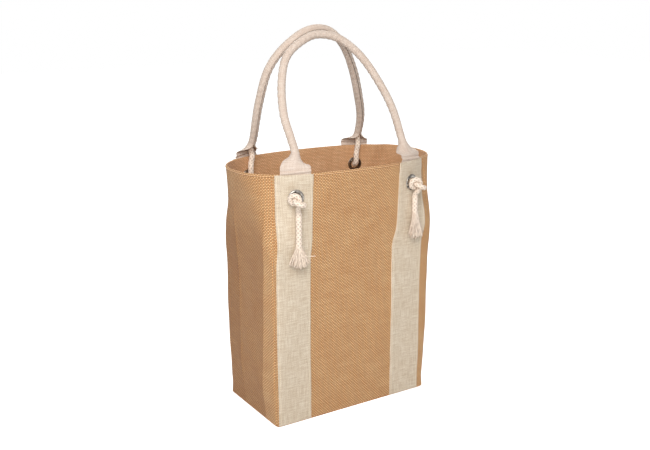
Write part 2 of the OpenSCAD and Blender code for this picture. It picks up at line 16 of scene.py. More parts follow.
import bpy
import numpy as np
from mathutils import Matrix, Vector

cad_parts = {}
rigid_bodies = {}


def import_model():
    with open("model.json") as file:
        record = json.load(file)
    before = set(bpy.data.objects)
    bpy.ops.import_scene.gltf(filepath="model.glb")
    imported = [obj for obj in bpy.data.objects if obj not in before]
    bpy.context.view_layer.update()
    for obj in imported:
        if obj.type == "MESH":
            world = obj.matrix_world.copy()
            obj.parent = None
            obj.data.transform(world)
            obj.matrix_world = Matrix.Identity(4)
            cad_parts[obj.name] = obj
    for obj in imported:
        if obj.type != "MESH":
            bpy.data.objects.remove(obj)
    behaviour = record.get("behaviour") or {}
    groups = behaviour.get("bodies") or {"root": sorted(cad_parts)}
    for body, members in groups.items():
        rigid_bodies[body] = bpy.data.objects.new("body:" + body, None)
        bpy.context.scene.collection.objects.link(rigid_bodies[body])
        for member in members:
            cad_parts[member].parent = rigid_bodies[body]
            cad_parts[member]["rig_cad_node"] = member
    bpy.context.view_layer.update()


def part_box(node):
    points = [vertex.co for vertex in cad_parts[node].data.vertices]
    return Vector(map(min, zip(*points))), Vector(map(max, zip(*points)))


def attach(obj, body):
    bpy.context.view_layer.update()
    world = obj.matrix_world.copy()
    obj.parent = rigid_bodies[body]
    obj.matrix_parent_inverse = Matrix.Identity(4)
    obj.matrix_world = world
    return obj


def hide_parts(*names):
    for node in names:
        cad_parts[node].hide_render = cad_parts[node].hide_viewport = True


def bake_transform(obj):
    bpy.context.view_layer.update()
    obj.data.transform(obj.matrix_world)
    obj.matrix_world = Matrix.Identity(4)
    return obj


LOG = logging.getLogger("bottle_carrier")
MM = 0.001
WEAVE_UV = "thread"
STRAND = "strand"
# Painted shade: the name of a value on a piece's corners that darkens its cloth where the light falls off; the end
# walls carry it
PAINTED_SHADE = "fold"
SHOWN_RAYS = ("Is Camera Ray", "Is Glossy Ray", "Is Transmission Ray")

Colour = tuple[float, float, float]
Value = "float | int | Socket"
Span = Callable[[float], tuple[np.ndarray, np.ndarray]]

# Two directions, and the places across a sleeve's cloth as shares of its width
UP = np.array([0, 0, 1])
SIDEWAYS = (1, 0, 0)
ACROSS = np.linspace(-0.5, 0.5, 29)


# Shader building


class Socket:
    """A socket of a shader tree whose operators add Math nodes."""

    def __init__(self, shader: Shader, socket: bpy.types.NodeSocket) -> None:
        """Keep the socket with the shader that it belongs to."""
        self.shader = shader
        self.socket = socket

    def math(self, operation: str, *others: Value) -> Socket:
        """Return a Math node of this value and the others."""
        return self.shader.add("ShaderNodeMath", {"operation": operation}, {0: self, **dict(enumerate(others, 1))})

    def __add__(self, other: Value) -> Socket:
        """Return the sum."""
        return self.math("ADD", other)

    def __mul__(self, other: Value) -> Socket:
        """Return the product."""
        return self.math("MULTIPLY", other)

    def __sub__(self, other: Value) -> Socket:
        """Return the difference."""
        return self.math("SUBTRACT", other)

    def __rsub__(self, other: Value) -> Socket:
        """Return the other value less this one."""
        return self.shader.add("ShaderNodeMath", {"operation": "SUBTRACT"}, {0: other, 1: self})

    __radd__ = __add__
    __rmul__ = __mul__

    def sine(self) -> Socket:
        """Return the sine."""
        return self.math("SINE")

    def size(self) -> Socket:
        """Return the absolute value."""
        return self.math("ABSOLUTE")

    def larger(self, other: Value) -> Socket:
        """Return the larger of two values."""
        return self.math("MAXIMUM", other)

    def eased(self, low: float, high: float) -> Socket:
        """Return a smooth step from 0 at low to 1 at high.

        Args:
            low: where the step starts.
            high: where it ends.

        Returns:
            The step's value.
        """
        return self.shader.add(
            "ShaderNodeMapRange",
            {"interpolation_type": "SMOOTHSTEP"},
            {"Value": self, "From Min": low, "From Max": high},
        )


class Shader:
    """The node tree of a material or of the world."""

    def __init__(self, name: str, world: bpy.types.World | None = None) -> None:
        """Start an empty tree in a new material, or in the world.

        Args:
            name: the material's name.
            world: the world, where the tree is its own.
        """
        self.owner = bpy.data.materials.new(name) if world is None else world
        self.owner.use_nodes = True
        self.tree = self.owner.node_tree
        self.tree.nodes.clear()

    def add(
        self,
        kind: str,
        settings: dict[str, object] | None = None,
        inputs: dict[str | int, object] | None = None,
        output: str | int = 0,
    ) -> Socket | None:
        """Add a node.

        Args:
            kind: the node's type.
            settings: values of the node itself, set first.
            inputs: values or links for its sockets, by name or number.
            output: the socket to return.

        Returns:
            The chosen output, ready for arithmetic, or nothing where the node has none.
        """
        node = self.tree.nodes.new(kind)
        for name, value in (settings or {}).items():
            setattr(node, name, value)
        for key, value in (inputs or {}).items():
            if isinstance(value, Socket):
                self.tree.links.new(value.socket, node.inputs[key])
            else:
                node.inputs[key].default_value = value
        return Socket(self, node.outputs[output]) if node.outputs else None

    def mix(self, share: Value, first: object, second: object, blend: str = "MIX") -> Socket:
        """Blend two colours, from the first at 0 to the second at 1.

        Args:
            share: the second colour's share.
            first: a colour or a link.
            second: a colour or a link.
            blend: how the second is laid over the first.

        Returns:
            The blended colour.
        """
        colours = [(*c, 1) if isinstance(c, tuple) else c for c in (first, second)]
        inputs = {0: share, 6: colours[0], 7: colours[1]}
        return self.add("ShaderNodeMix", {"data_type": "RGBA", "blend_type": blend}, inputs, output=2)

    def noise(self, place: Socket, scale: float, detail: float = 2) -> Socket:
        """Return a smooth noise around a half."""
        return self.add("ShaderNodeTexNoise", {}, {"Vector": place, "Scale": scale, "Detail": detail})

    def bump(self, height: Socket, distance: float, strength: float = 1) -> Socket:
        """Return a normal from a height in shares of a distance."""
        return self.add("ShaderNodeBump", {}, {"Height": height, "Distance": distance, "Strength": strength})

    def attribute(self, name: str) -> Socket:
        """Return a value that the mesh holds."""
        return self.add("ShaderNodeAttribute", {"attribute_name": name}, {}, output="Fac")

    def place(self) -> Socket:
        """Return the place in the piece's own space."""
        return self.add("ShaderNodeTexCoord", {}, {}, output="Object")

    def shown(self) -> Socket:
        """Return 1 for rays that show the studio itself, straight or in gloss or glass, and 0 for its light."""
        seen, glossy, passed = (self.add("ShaderNodeLightPath", {}, {}, output=kind) for kind in SHOWN_RAYS)
        return seen.larger(glossy).larger(passed)

    def finish(self, **inputs: object) -> bpy.types.Material:
        """Close the tree with a Principled shader.

        Args:
            inputs: its sockets, with underscores for the spaces in their names.

        Returns:
            The finished material.
        """
        named = {key.replace("_", " "): value for key, value in inputs.items()}
        surface = self.add("ShaderNodeBsdfPrincipled", {}, named)
        self.add("ShaderNodeOutputMaterial", {}, {"Surface": surface})
        return self.owner


@dataclass(frozen=True)
class PlainWeave:
    """A woven cloth whose threads run along its own two directions."""

    name: str
    thread: Colour
    # pale is partly the fibres' own paler tone along slubs and partly a painted highlight on the threads that lie on
    # top
    pale: Colour
    # gap is painted shade: the colour of the gaps and low places between threads
    gap: Colour
    pitch: float
    relief: float
    slub: float = 0.5
    mottle: float = 0.35
    # share of the pale colour that is a painted highlight on the weft where it lies on top
    crossing_highlight: float = 0.45
    roughness: float = 0.85
    sheen: float = 0.12
    # tint of the painted shade that a piece's marked corners get
    painted_shade_tint: Colour = (0.66, 0.54, 0.42)

    def material(self) -> bpy.types.Material:
        """Build the cloth: threads that cross over one another with uneven thickness, pale fibres with a painted
        highlight on the weft where it lies on top, painted shade in the gaps between threads, and painted shade where
        a piece marks it.

        Returns:
            The material.
        """
        shader = Shader(self.name)
        place = shader.add("ShaderNodeUVMap", {"uv_map": WEAVE_UV})
        across = shader.add("ShaderNodeSeparateXYZ", {}, {0: place}, output=0)
        up = shader.add("ShaderNodeSeparateXYZ", {}, {0: place}, output=1)
        wander = (shader.noise(place, 90, 1) - 0.5) * (0.5 * self.pitch)
        warp_turn = (across + wander) * (math.pi / self.pitch)
        weft_turn = (up + wander) * (math.pi / self.pitch)
        warp, weft = warp_turn.sine(), weft_turn.sine()
        over = warp * weft * 0.5
        warp_slub = self._streaks(shader, across, up)
        weft_slub = self._streaks(shader, up, across)
        warp_top = warp.size() * (over + 0.6) * (warp_slub * self.slub + (1 - self.slub / 2))
        weft_top = weft.size() * (0.6 - over) * (weft_slub * self.slub + (1 - self.slub / 2))
        height = warp_top.larger(weft_top)
        fibre = shader.noise(place, 2600, 2)
        patches = shader.noise(place, 28, 3)
        # Painted highlight: where the weft lies on top it is lifted towards the pale colour
        weft_highlight = (weft_top - warp_top).eased(-0.12, 0.12)
        streak = (warp_slub * (over + 0.5) + weft_slub * (0.5 - over)).eased(0.3, 0.72)
        light = streak * (1 - self.crossing_highlight) + weft_highlight * self.crossing_highlight
        tone = shader.mix(light + (fibre - 0.5) * 0.6, self.thread, self.pale)
        dull = shader.mix((patches - 0.5) * (2 * self.mottle) + 0.2, tone, self.thread)
        # Painted shade: the gaps and low places between threads darken towards the gap colour
        colour = shader.mix(height.eased(0.12, 0.7), self.gap, dull)
        # Painted shade: marked corners darken towards the painted shade tint
        colour = shader.mix(shader.attribute(PAINTED_SHADE), colour, self.painted_shade_tint, "MULTIPLY")
        return shader.finish(
            Base_Color=colour,
            Roughness=self.roughness,
            Sheen_Weight=self.sheen,
            Sheen_Roughness=0.5,
            Specular_IOR_Level=0.25,
            Normal=shader.bump(height + fibre * 0.18, self.relief),
        )

    def _streaks(self, shader: Shader, across: Socket, along: Socket) -> Socket:
        """Return how thick each thread is, changing slowly along it and at random from one to the next."""
        parts = {0: across * (0.9 / self.pitch), 1: along * (0.06 / self.pitch)}
        return shader.noise(shader.add("ShaderNodeCombineXYZ", {}, parts), 1, 1)


@dataclass(frozen=True)
class BraidedCotton:
    """Soft cotton yarn, braided or loose."""

    name: str
    yarn: Colour
    shade: Colour

    def material(self) -> bpy.types.Material:
        """Build the yarn: fine fibres, and shade in the grooves that the strand attribute marks.

        Returns:
            The material.
        """
        shader = Shader(self.name)
        place = shader.place()
        fibre = shader.noise(place, 1500, 3)
        patches = shader.noise(place, 160, 2)
        crown = shader.attribute(STRAND).eased(0.05, 0.8)
        light = crown * 0.85 + (patches - 0.5) * 0.25 + (fibre - 0.5) * 0.55 + 0.1
        colour = shader.mix(light, self.shade, self.yarn)
        return shader.finish(
            Base_Color=colour,
            Roughness=0.9,
            Sheen_Weight=0.25,
            Specular_IOR_Level=0.2,
            Normal=shader.bump(fibre, 0.25 * MM, 0.8),
        )


@dataclass(frozen=True)
class PlatedSteel:
    """Bright plated steel with fine scratches, and dark patches that are partly wear and partly painted shade and
    dark reflection.
    """

    name: str = "plated_steel"
    bright: Colour = (0.44, 0.41, 0.37)
    wear_and_dark_reflection: Colour = (0.10, 0.09, 0.08)

    def material(self) -> bpy.types.Material:
        """Build the metal.

        Returns:
            The material.
        """
        shader = Shader(self.name)
        place = shader.place()
        patches = shader.noise(place, 240, 4)
        scratches = shader.noise(place, 3000, 2)
        return shader.finish(
            # Dark patches: partly wear, partly painted shade and dark reflection on the ring
            Base_Color=shader.mix(patches.eased(0.35, 0.65), self.bright, self.wear_and_dark_reflection),
            Metallic=1.0,
            Roughness=patches * 0.25 + 0.14,
            Normal=shader.bump(scratches, 0.02 * MM, 0.5),
        )


@dataclass(frozen=True)
class PressedBoard:
    """Pressed fibre board."""

    name: str
    light: Colour
    dark: Colour

    def material(self) -> bpy.types.Material:
        """Build the board: short fibres, and specks in them.

        Returns:
            The material.
        """
        shader = Shader(self.name)
        place = shader.place()
        fibre = shader.noise(place, 700, 5)
        specks = shader.noise(place, 2200, 1).eased(0.62, 0.7)
        colour = shader.mix(fibre.eased(0.3, 0.7) * 0.8 + specks * 0.2, self.light, self.dark)
        return shader.finish(Base_Color=colour, Roughness=0.8, Normal=shader.bump(fibre, 0.15 * MM))


class Finish(Enum):
    """The finishes of the bag, each built once."""

    JUTE = PlainWeave(
        "natural_jute", (0.58, 0.245, 0.08), (1.0, 0.72, 0.385), (0.15, 0.05, 0.015), 2.3 * MM, 0.7 * MM,
        crossing_highlight=0.85,
    )
    # Painted light: a lighter copy of the wall's jute for the facing inside the rim, so that the inside of the bag
    # shows brighter
    FACING_JUTE_PAINTED_LIGHT = PlainWeave(
        "facing_jute", (0.70, 0.36, 0.16), (1.0, 0.66, 0.40), (0.27, 0.12, 0.045), 2.3 * MM, 0.5 * MM,
        crossing_highlight=0.6,
    )
    STRIPE_CANVAS = PlainWeave(
        "slubbed_canvas", (0.70, 0.56, 0.40), (1.0, 0.93, 0.79), (0.42, 0.30, 0.19), 1.3 * MM, 0.35 * MM,
        slub=1.0, mottle=0.2, crossing_highlight=0.25,
    )
    SLEEVE_CANVAS = PlainWeave(
        "sleeve_canvas", (0.67, 0.52, 0.42), (0.95, 0.86, 0.77), (0.44, 0.32, 0.24), 1.2 * MM, 0.25 * MM,
        slub=0.8, mottle=0.35, crossing_highlight=0.25,
    )
    ROPE = BraidedCotton("braided_cotton", (0.95, 0.81, 0.68), (0.58, 0.46, 0.36))
    THREAD = BraidedCotton("sewing_thread", (0.88, 0.76, 0.58), (0.60, 0.46, 0.30))
    JUTE_THREAD = BraidedCotton("jute_thread", (0.86, 0.58, 0.34), (0.52, 0.29, 0.13))
    STEEL = PlatedSteel()
    BOARD = PressedBoard("base_board", (0.30, 0.19, 0.10), (0.17, 0.10, 0.05))
    DIVIDER = PressedBoard("divider_board", (0.44, 0.27, 0.13), (0.30, 0.17, 0.08))


# Meshes


def eased(value: np.ndarray | float) -> np.ndarray | float:
    """Return a smooth step from 0 to 1."""
    share = np.clip(value, 0, 1)
    return share * share * (3 - 2 * share)


def smooth_curve(points: Sequence[np.ndarray], steps: int) -> np.ndarray:
    """Return a smooth curve through all the points.

    Args:
        points: the places that it passes through.
        steps: the number of steps between two of them.

    Returns:
        The curve's points.
    """
    given = np.asarray(points, float)
    padded = np.vstack([2 * given[0] - given[1], given, 2 * given[-1] - given[-2]])
    t = np.linspace(0, 1, steps, endpoint=False)[:, None]
    runs = []
    for p0, p1, p2, p3 in zip(padded, padded[1:], padded[2:], padded[3:]):
        bend = 2 * p0 - 5 * p1 + 4 * p2 - p3
        runs.append((2 * p1 + (p2 - p0) * t + bend * t**2 + (3 * p1 - p0 - 3 * p2 + p3) * t**3) / 2)
    return np.vstack([*runs, given[-1:]])


def running_length(points: np.ndarray) -> np.ndarray:
    """Return each point's distance along the line from its start."""
    return np.concatenate([[0], np.cumsum(np.linalg.norm(np.diff(points, axis=0), axis=1))])


def at_lengths(places: np.ndarray, run: np.ndarray, points: np.ndarray) -> np.ndarray:
    """Return a line's points, or its directions, at distances from its start."""
    return np.stack([np.interp(places, run, points[:, k]) for k in range(3)], axis=1)


def even_steps(points: np.ndarray, step: float) -> np.ndarray:
    """Return the line's points at even steps.

    Args:
        points: the line's points.
        step: the distance wanted between two of the new ones.

    Returns:
        The new points.
    """
    run = running_length(points)
    count = max(int(round(run[-1] / step)), 2)
    return at_lengths(np.linspace(0, run[-1], count + 1), run, points)


def unit(vectors: np.ndarray) -> np.ndarray:
    """Return vectors of length 1."""
    return vectors / np.maximum(np.linalg.norm(vectors, axis=-1, keepdims=True), 1e-12)


def directions(points: np.ndarray) -> np.ndarray:
    """Return the line's direction at each point."""
    return unit(np.vstack([points[1:], points[-1:]]) - np.vstack([points[:1], points[:-1]]))


def grid_cells(rows: int, spans: int) -> list[np.ndarray]:
    """Return the row and the column of every face of a grid of points."""
    return [part.ravel() for part in np.meshgrid(np.arange(rows - 1), np.arange(spans), indexing="ij")]


def grid_quads(rows: int, columns: int, spans: int) -> np.ndarray:
    """Return the faces of a grid of points.

    Args:
        rows: how many rows of points it has.
        columns: how many points a row has.
        spans: how many faces a row has: as many as points where its last point joins its first.

    Returns:
        Each face's four corners.
    """
    r, c = grid_cells(rows, spans)
    a, b = r * columns + c, r * columns + (c + 1) % columns
    return np.stack([a, b, b + columns, a + columns], axis=1)


class Builder:
    """Makes mesh objects from grids of points and dresses them."""

    def __init__(self) -> None:
        """Start with no finish built."""
        self.made: dict[Finish, bpy.types.Material] = {}

    def dress(self, piece: bpy.types.Object, finish: Finish, faces: np.ndarray | None = None) -> None:
        """Give a piece a finish, built when it is first asked for.

        Args:
            piece: the piece.
            finish: its finish, or a second one.
            faces: for a second finish, which faces get it; faces after the last keep the first.
        """
        if finish not in self.made:
            self.made[finish] = finish.value.material()
        if faces is None:
            piece.data.materials.clear()
        piece.data.materials.append(self.made[finish])
        if faces is not None:
            slots = np.zeros(len(piece.data.polygons), np.int32)
            slots[: len(faces)] = faces
            piece.data.polygons.foreach_set("material_index", slots)

    def mesh(
        self,
        name: str,
        points: np.ndarray,
        faces: Sequence[Sequence[int]],
        finish: Finish,
        corners_uv: np.ndarray | None = None,
        crease: float = 50,
    ) -> bpy.types.Object:
        """Make an object.

        Args:
            name: the piece's name.
            points: its corners.
            faces: its faces, as numbers of corners.
            finish: its finish.
            corners_uv: a place on the cloth for every corner of every face, in order.
            crease: the angle in degrees above which an edge is sharp.

        Returns:
            The object.
        """
        data = bpy.data.meshes.new(name)
        data.from_pydata(points.tolist(), [], faces)
        if corners_uv is not None:
            layer = data.uv_layers.new(name=WEAVE_UV)
            layer.data.foreach_set("uv", np.asarray(corners_uv, np.float32).ravel())
        data.shade_smooth()
        data.set_sharp_from_angle(angle=math.radians(crease))
        piece = bpy.data.objects.new(name, data)
        bpy.context.scene.collection.objects.link(piece)
        self.dress(piece, finish)
        return piece

    @staticmethod
    def mark(piece: bpy.types.Object, name: str, values: np.ndarray | float) -> None:
        """Give each corner of a piece a value that its finish reads.

        Args:
            piece: the piece.
            name: the value's name.
            values: one value for all corners, or one for each.
        """
        spread = np.broadcast_to(np.ravel(values), (len(piece.data.vertices),))
        layer = piece.data.attributes.new(name, "FLOAT", "POINT")
        layer.data.foreach_set("value", np.array(spread, np.float32))

    def sheet(
        self,
        name: str,
        outer: Sequence[np.ndarray],
        inner: Sequence[np.ndarray],
        places: Sequence[np.ndarray],
        finish: Finish,
        looped: bool = False,
        mirrored: bool = False,
    ) -> bpy.types.Object:
        """Make a closed sheet between an outer and an inner grid of points.

        Args:
            name: the piece's name.
            outer: rows of points of the outer side.
            inner: the same rows on the inner side.
            places: each point's place on the cloth, with one column more where the sheet is looped.
            finish: its finish.
            looped: whether the last column joins the first.
            mirrored: whether the grid was mirrored, so that its faces turn over.

        Returns:
            The object.
        """
        sides, places = np.array([outer, inner]), np.array(places)
        rows, columns = sides.shape[1:3]
        count, spans = rows * columns, columns if looped else columns - 1
        quads, (r, c) = grid_quads(rows, columns, spans), grid_cells(rows, spans)
        spots = np.stack([places[r, c], places[r, c + 1], places[r + 1, c + 1], places[r + 1, c]], axis=1)
        over = [0, 3, 2, 1]
        quads, spots = [quads, quads[:, over] + count], [spots, spots[:, over]]
        r, c, last = np.arange(rows - 1), np.arange(spans), columns - 1
        edges = [((0, c + 1), (0, c)), ((rows - 1, c), (rows - 1, c + 1))]
        if not looped:
            edges += [((r, 0), (r + 1, 0)), ((r + 1, last), (r, last))]
        for near, far in edges:
            p, q = (row * columns + column % columns for row, column in (near, far))
            quads.append(np.stack([p, q, q + count, p + count], axis=1))
            spots.append(np.stack([places[near], places[far], places[far], places[near]], axis=1))
        order = slice(None, None, -1 if mirrored else 1)
        faces, uv = np.vstack(quads)[:, order], np.vstack(spots)[:, order]
        return self.mesh(name, sides.reshape(-1, 3), faces.tolist(), finish, uv.reshape(-1, 2))

    def tubes(
        self, name: str, rings: np.ndarray, finish: Finish, strand: np.ndarray | float, capped: bool = True
    ) -> bpy.types.Object:
        """Make one piece of tubes through rings of points.

        Args:
            name: the piece's name.
            rings: the points, by tube, ring and side.
            finish: its finish.
            strand: how high each point lies on its strand, from 0 in a groove to 1.
            capped: whether the tubes' ends are closed.

        Returns:
            The object.
        """
        number, count, sides = rings.shape[:3]
        starts = count * sides * np.arange(number)[:, None, None]
        faces = (grid_quads(count, sides, sides) + starts).reshape(-1, 4).tolist()
        if capped:
            around = np.arange(sides)
            caps = np.stack([around[::-1], around + (count - 1) * sides])
            faces += (caps + starts).reshape(-1, sides).tolist()
        piece = self.mesh(name, rings.reshape(-1, 3), faces, finish, crease=180)
        self.mark(piece, STRAND, strand)
        return piece


def round_rings(line: np.ndarray, radii: np.ndarray, start: Sequence[float]) -> np.ndarray:
    """Return a tube's rings round a line, turned without twist.

    Args:
        line: the middle of the tube.
        radii: the radius at each point and side, as rows.
        start: a direction beside the line at its start.

    Returns:
        The rings' points.
    """
    ahead = directions(line)
    side = np.asarray(start, float)
    rings = []
    turn = np.linspace(0, 2 * math.pi, radii.shape[1], endpoint=False)[:, None]
    for place, along, radius in zip(line, ahead, radii):
        side = unit(side - along * (side @ along))
        other = np.cross(along, side)
        rings.append(place + radius[:, None] * (side * np.cos(turn) + other * np.sin(turn)))
    return np.array(rings)


# The bag's wall


@dataclass(frozen=True)
class Wall:
    """The bag's wall: its plan changes from a sharp rectangle at the base to an oval at the rim."""

    height: float
    base_length: float
    base_depth: float
    rim_length: float
    rim_depth: float
    end_belly: float = 2.5 * MM
    side_belly: float = 4 * MM
    open_share: float = 0.55
    base_power: float = 40
    body_power: float = 9
    rim_power: float = 2.5
    relax_share: float = 0.15
    seam_wrap: float = 3 * MM
    cloth: float = 1.6 * MM
    quarter_steps: int = 240
    dent: float = 1.3 * MM
    fold_power: float = 26
    fold_low: float = 0.26
    fold_top: float = 0.345
    full_end: float = 6.5 * MM

    def opening(self, z: float) -> float:
        """Return how far the wall has opened towards the rim, from 0 to 1."""
        return float(np.clip((z / self.height - self.open_share) / (1 - self.open_share), 0, 1)) ** 2

    def level(self, z: float) -> tuple[np.ndarray, np.ndarray, np.ndarray, float, float, float]:
        """Return a quarter of the plan at a height.

        The stiff jute keeps the base's sharp corners up to where the rim's oval begins to pull it round.

        Args:
            z: the height.

        Returns:
            The running length, x and y of the quarter's points, its half length, its half depth and its power.
        """
        swell = math.sin(math.pi * min(max(z / self.height, 0), 1))
        open_now = self.opening(z)
        a = self.base_length / 2 + self.end_belly * swell + (self.rim_length - self.base_length) / 2 * open_now
        b = self.base_depth / 2 + self.side_belly * swell + (self.rim_depth - self.base_depth) / 2 * open_now
        relaxed = float(eased(z / self.height / self.relax_share))
        soft = 1 / self.base_power + (1 / self.body_power - 1 / self.base_power) * relaxed
        soft += (1 / self.rim_power - soft) * open_now
        folded = float(eased(z / 0.03) * (1 - eased((z - self.fold_low) / (self.fold_top - self.fold_low))))
        power = 1 / (soft + (1 / self.fold_power - soft) * folded)
        turn = np.linspace(0, math.pi / 2, self.quarter_steps + 1)
        x = a * np.sin(turn) ** (2 / power)
        y = np.append(b * np.cos(turn[:-1]) ** (2 / power), 0)
        return running_length(np.stack([x, y], axis=1)), x, y, a, b, power

    def quarter(self, z: float) -> float:
        """Return a quarter of the way round at a height."""
        return float(self.level(z)[0][-1])

    def seam(self, z: float) -> float:
        """Return how far the side seams lie from the middle of the front."""
        share = self.base_length / (self.base_length + self.base_depth)
        return share * self.quarter(min(z, self.height)) + self.seam_wrap

    def softness(self, z: float, s: np.ndarray) -> np.ndarray:
        """Return how far the slack cloth dents in and out, apart from its base and its stiff rim.

        Args:
            z: the height.
            s: places round the plan.

        Returns:
            How far out each place stands.
        """
        share = float(eased(z / 0.05) * (1 - eased((z - 0.29) / 0.045)))
        waves = (
            np.sin(s * 31 + z * 9 + 0.6) * np.sin(z * 24 + s * 5 + 1.1)
            + 0.55 * np.sin(s * 67 - z * 31 + 2.0)
            + 0.35 * np.sin(s * 118 + z * 74 + 0.3)
        )
        return self.dent * share * waves / 1.9

    def points(self, z: float, s: np.ndarray, out: np.ndarray | float = 0) -> np.ndarray:
        """Return places on the wall at one height. The right end stands out fuller below its rim.

        Args:
            z: the height; above the rim the wall goes on straight up.
            s: distances round the plan from the middle of the front, positive to the right.
            out: how far outside the wall's face each place lies.

        Returns:
            The points.
        """
        run, x_of, y_of, a, b, power = self.level(min(z, self.height))
        quarter = run[-1]
        s = np.asarray(s, float)
        along = np.mod(s, 4 * quarter)
        side = np.minimum(np.floor(along / quarter).astype(int), 3)
        rest = along - side * quarter
        from_front = np.where(side % 2 == 0, rest, quarter - rest)
        x, y = np.interp(from_front, run, x_of), np.interp(from_front, run, y_of)
        steep = np.stack([(x / a) ** (power - 1) / a, (y / b) ** (power - 1) / b], axis=1)
        normal = unit(steep)
        reach = out + self.softness(z, s)
        right, back = np.where(side < 2, 1, -1), np.where((side == 1) | (side == 2), 1, -1)
        full = self.full_end * (right > 0) * (1 - (y / b) ** 4)
        reach = reach + full * eased((x / a - 0.82) / 0.1) * float(eased((z - 0.2) / 0.12))
        heights = np.full_like(x, z)
        return np.stack([right * (x + reach * normal[:, 0]), back * (y + reach * normal[:, 1]), heights], axis=1)

    def frame(self, z: float, s: float) -> tuple[np.ndarray, np.ndarray, np.ndarray, np.ndarray]:
        """Return a place on the wall and its directions to the right, up and out.

        Args:
            z: the height.
            s: the place round the plan.

        Returns:
            The place and the three directions.
        """
        probe = 1 * MM
        beside = self.points(z, np.array([s - probe, s, s + probe]))
        below, above = self.points(z - probe, np.array([s]))[0], self.points(z + probe, np.array([s]))[0]
        right = unit(beside[2] - beside[0])
        out = unit(np.cross(right, above - below))
        return beside[1], right, np.cross(out, right), out

    @staticmethod
    def heights(low: float, high: float, step: float) -> np.ndarray:
        """Return even heights from low to high."""
        return np.linspace(low, high, max(int(round((high - low) / step)), 1) + 1)


